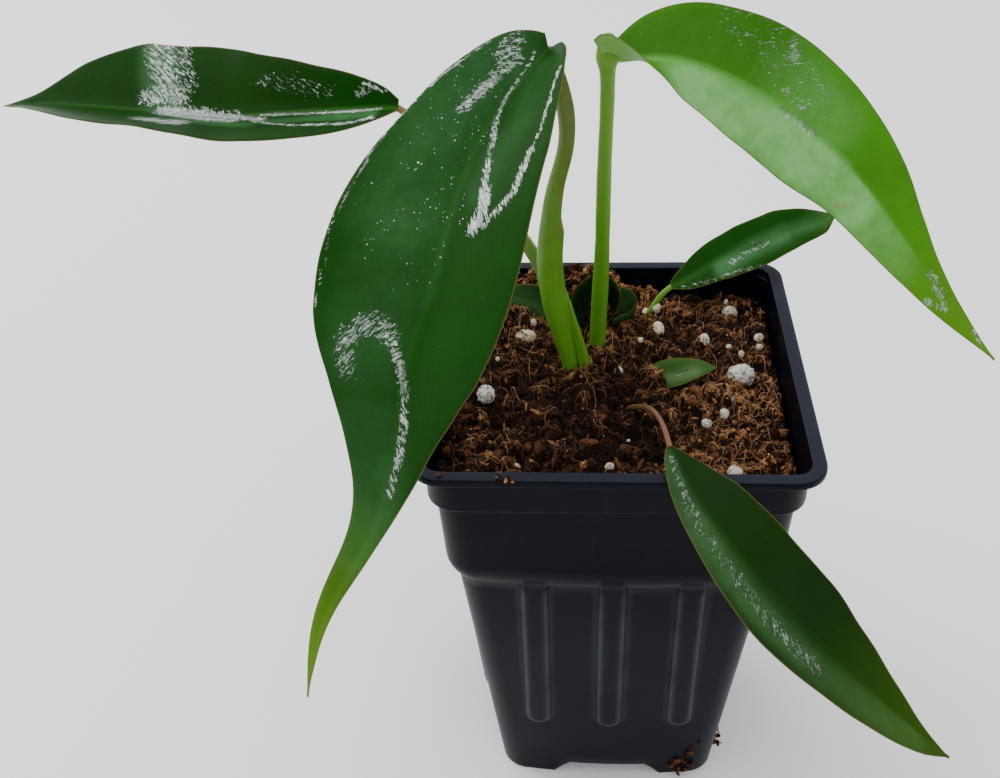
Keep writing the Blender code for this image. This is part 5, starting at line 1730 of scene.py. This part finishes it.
class StageSettings(bpy.types.PropertyGroup):
    floor_colour: colour_setting("Floor", "Colour of the floor", (0.92, 0.92, 0.92))
    floor_size: bpy.props.FloatProperty(name="Floor Size", description="Width of the square floor",
                                        default=14, min=1, unit="LENGTH")
    sky_colour: colour_setting("Surroundings", "Colour of the even light all round", (0.97, 0.985, 1))
    sky_strength: strength_setting("Surroundings Strength", "Strength of the even light", 0.95)
    light_strength: strength_setting("Softbox Strength", "Strength of all softboxes", 1)


class PotSettings(bpy.types.PropertyGroup):
    colour: colour_setting("Plastic", "Colour of the pot", (0.0003, 0.001, 0.0034))
    # colour of the painted sheen of the sky on the rim's flat top and other faces that look up
    rim: colour_setting("Worn Rim", "Colour of the flat top of the rim", (0.019, 0.022, 0.033))
    # colour of the painted highlight on the rounded rib edges
    edge: colour_setting("Worn Edges", "Colour of the rounded edges of the ribs", (0.038, 0.041, 0.049))
    scuff: colour_setting("Scuffs", "Colour of light scuffs", (0.022, 0.025, 0.034))
    # colour of dust, a slate blue that also paints the sky's sheen on faces that look up
    dust_and_sheen_colour: colour_setting("Dust", "Colour of the dust that settles on the pot", (0.055, 0.06, 0.085))
    dust: share_setting("Dust Amount", "How dusty the pot is", 0.35)
    roughness: share_setting("Roughness", "Lowest roughness of the plastic", 0.26)


class MixSettings(bpy.types.PropertyGroup):
    # dark tone of the mix, mostly painted shade in its voids and cracks
    dark: colour_setting("Damp Peat", "Colour of damp peat in the hollows", (0.0075, 0.0029, 0.0014))
    brown: colour_setting("Peat", "Colour of the crumbs", (0.115, 0.042, 0.015))
    pale: colour_setting("Dry Coir", "Colour of dry coir and bark", (0.46, 0.23, 0.095))
    perlite: colour_setting("Perlite", "Colour of clean perlite", (0.58, 0.55, 0.5))
    # also, darkened, the painted shade in perlite's pits
    perlite_stain: colour_setting("Perlite Stain", "Colour of perlite in its hollows", (0.085, 0.06, 0.042))
    perlite_cream: colour_setting("Perlite Cream", "Colour of perlite stained by peat", (0.6, 0.48, 0.3))
    clods: count_setting("Clods", "How many larger clods lie on the mix", 850)
    shreds: count_setting("Shreds", "How many shreds of coir lie on the mix", 1200)
    crumbs: count_setting("Crumbs", "How many small crumbs lie on the mix", 4000)
    fibres: count_setting("Fibres", "How many fibres lie on the mix", 3250)


class BladeSettings(bpy.types.PropertyGroup):
    margin: colour_setting("Margin", "Colour of the thin line round a blade", (0.12, 0.085, 0.026))
    tip: colour_setting("Tip", "Colour towards the tip of a blade", (0.115, 0.25, 0.012))
    scar: colour_setting("Scars", "Colour of scars and dry spots", (0.3, 0.17, 0.07))
    # colour of the painted glint of sky on water
    glint: colour_setting("Glint", "Colour of the bright sky in the water", (0.78, 0.81, 0.8))
    gloss: share_setting("Gloss", "How strongly the blades shine", 0.03)
    roughness: share_setting("Roughness", "Lowest roughness of a dry blade", 0.32)
    # wetness scales the water's gloss and its painted glint
    wetness: share_setting("Wetness", "How much water lies on the blades", 1, 2)


class StalkSettings(bpy.types.PropertyGroup):
    cork: colour_setting("Cork", "Colour of corky flecks and dry ends", (0.2, 0.1, 0.04))


# Colours of each kind of blade: title, what it is, then face, veins, painted sheen (its settings say waxy
# patches) and underside
BLADE_PARTS = (("", "Face"), ("_vein", "Veins"), ("_bloom", "Waxy patches"), ("_under", "Underside"))
BLADE_COLOURS = {
    "dark": ("Dark Blade", "a grown blade",
             (0.0078, 0.052, 0.0046), (0.03, 0.14, 0.015), (0.05, 0.155, 0.055), (0.06, 0.17, 0.03)),
    "deep": ("Deep Blade", "the darkest blade",
             (0.0075, 0.029, 0.003), (0.014, 0.06, 0.01), (0.038, 0.1, 0.032), (0.045, 0.12, 0.025)),
    "light": ("Light Blade", "a young large blade",
              (0.05, 0.225, 0.008), (0.11, 0.33, 0.045), (0.185, 0.44, 0.135), (0.2, 0.42, 0.1)),
    "young": ("Seedling Blade", "the seedling's blade",
              (0.045, 0.11, 0.022), (0.09, 0.19, 0.045), (0.12, 0.19, 0.085), (0.12, 0.22, 0.06)),
    "old": ("Old Blade", "an old blade",
            (0.011, 0.034, 0.009), (0.022, 0.055, 0.015), (0.045, 0.125, 0.032), (0.028, 0.075, 0.018)),
}
# Colours of each kind of stalk: title, what it is, then lower and upper part
STALK_PARTS = (("", "Lower part"), ("_top", "Upper part"))
STALK_COLOURS = {
    "green": ("Green Stalk", "the green stalks", (0.09, 0.28, 0.01), (0.12, 0.27, 0.022)),
    "olive": ("Olive Stalk", "the front leaf's stalk", (0.1, 0.29, 0.014), (0.085, 0.1, 0.014)),
    "pale": ("Pale Stalk", "the left leaf's stalk", (0.14, 0.3, 0.04), (0.23, 0.18, 0.07)),
    "brown": ("Brown Stalk", "the thin brown stalk", (0.11, 0.065, 0.02), (0.17, 0.06, 0.03)),
}


def add_colours(settings, parts, kinds):
    """Gives a group of settings a colour for each part of each kind."""
    for kind, (title, what, *colours) in kinds.items():
        for (ending, part), colour in zip(parts, colours):
            made = colour_setting(title + " " + part, part + " of " + what, colour)
            settings.__annotations__[kind + ending] = made


add_colours(BladeSettings, BLADE_PARTS, BLADE_COLOURS)
add_colours(StalkSettings, STALK_PARTS, STALK_COLOURS)


class BuildStage(bpy.types.Operator):
    """Makes the camera, the pale floor and the soft studio light"""
    bl_idname = "philodendron.build_stage"
    bl_label = "Stage"

    def execute(self, context):
        make_stage()
        return {"FINISHED"}


class BuildPot(bpy.types.Operator):
    """Makes the square nursery pot with its rim, collar, band, ribs, arches and drain holes"""
    bl_idname = "philodendron.build_pot"
    bl_label = "Nursery Pot"

    def execute(self, context):
        make_pot()
        return {"FINISHED"}


class BuildMix(bpy.types.Operator):
    """Makes the potting mix with its clods, crumbs, bark, fibres and perlite"""
    bl_idname = "philodendron.build_mix"
    bl_label = "Potting Mix"

    def execute(self, context):
        read = height_reader(make_soil())
        make_crumbs(read)
        make_heap_crumbs(read)
        make_stuck_dirt()
        make_bark(read)
        make_fibres(read)
        make_perlite(read)
        return {"FINISHED"}


class BuildBlades(bpy.types.Operator):
    """Makes the blades of the leaves, wet in places, and the old leaf that has rolled up"""
    bl_idname = "philodendron.build_blades"
    bl_label = "Leaf Blades"

    def execute(self, context):
        for name in BLADES:
            make_blade(name)
        make_rolled_leaf()
        return {"FINISHED"}


class BuildStalks(bpy.types.Operator):
    """Makes the stalks of the leaves and the pointed sheath of the bud"""
    bl_idname = "philodendron.build_stalks"
    bl_label = "Stalks"

    def execute(self, context):
        for name in STALKS:
            make_stalk(name)
        return {"FINISHED"}


class PhilodendronPanel(bpy.types.Panel):
    """Buttons that build the plant, and the settings that each of them reads"""
    bl_idname = "VIEW3D_PT_philodendron"
    bl_label = "Potted Philodendron"
    bl_space_type = "VIEW_3D"
    bl_region_type = "UI"
    bl_category = "Philodendron"

    def draw(self, context):
        for operator, _, group in BUILD_ORDER:
            box = self.layout.box()
            box.operator(operator.bl_idname)
            settings = getattr(context.scene, group)
            for label in settings.bl_rna.properties.keys():
                if label not in ("rna_type", "name"):
                    box.prop(settings, label)


# Operators in the order in which they run, each with its settings and what the scene calls them
BUILD_ORDER = (
    (BuildStage, StageSettings, "philodendron_stage"),
    (BuildPot, PotSettings, "philodendron_pot"),
    (BuildMix, MixSettings, "philodendron_mix"),
    (BuildBlades, BladeSettings, "philodendron_blades"),
    (BuildStalks, StalkSettings, "philodendron_stalks"),
)


def register():
    for operator, settings, label in BUILD_ORDER:
        bpy.utils.register_class(settings)
        setattr(bpy.types.Scene, label, bpy.props.PointerProperty(type=settings))
        bpy.utils.register_class(operator)
    bpy.utils.register_class(PhilodendronPanel)


def unregister():
    bpy.utils.unregister_class(PhilodendronPanel)
    for operator, settings, label in reversed(BUILD_ORDER):
        bpy.utils.unregister_class(operator)
        delattr(bpy.types.Scene, label)
        bpy.utils.unregister_class(settings)


def main():
    register()
    for operator, *_ in BUILD_ORDER:
        space, label = operator.bl_idname.split(".")
        if getattr(getattr(bpy.ops, space), label)() != {"FINISHED"}:
            raise RuntimeError(operator.bl_label + " could not be built")
    bpy.context.view_layer.update()


if __name__ == "__main__":
    main()
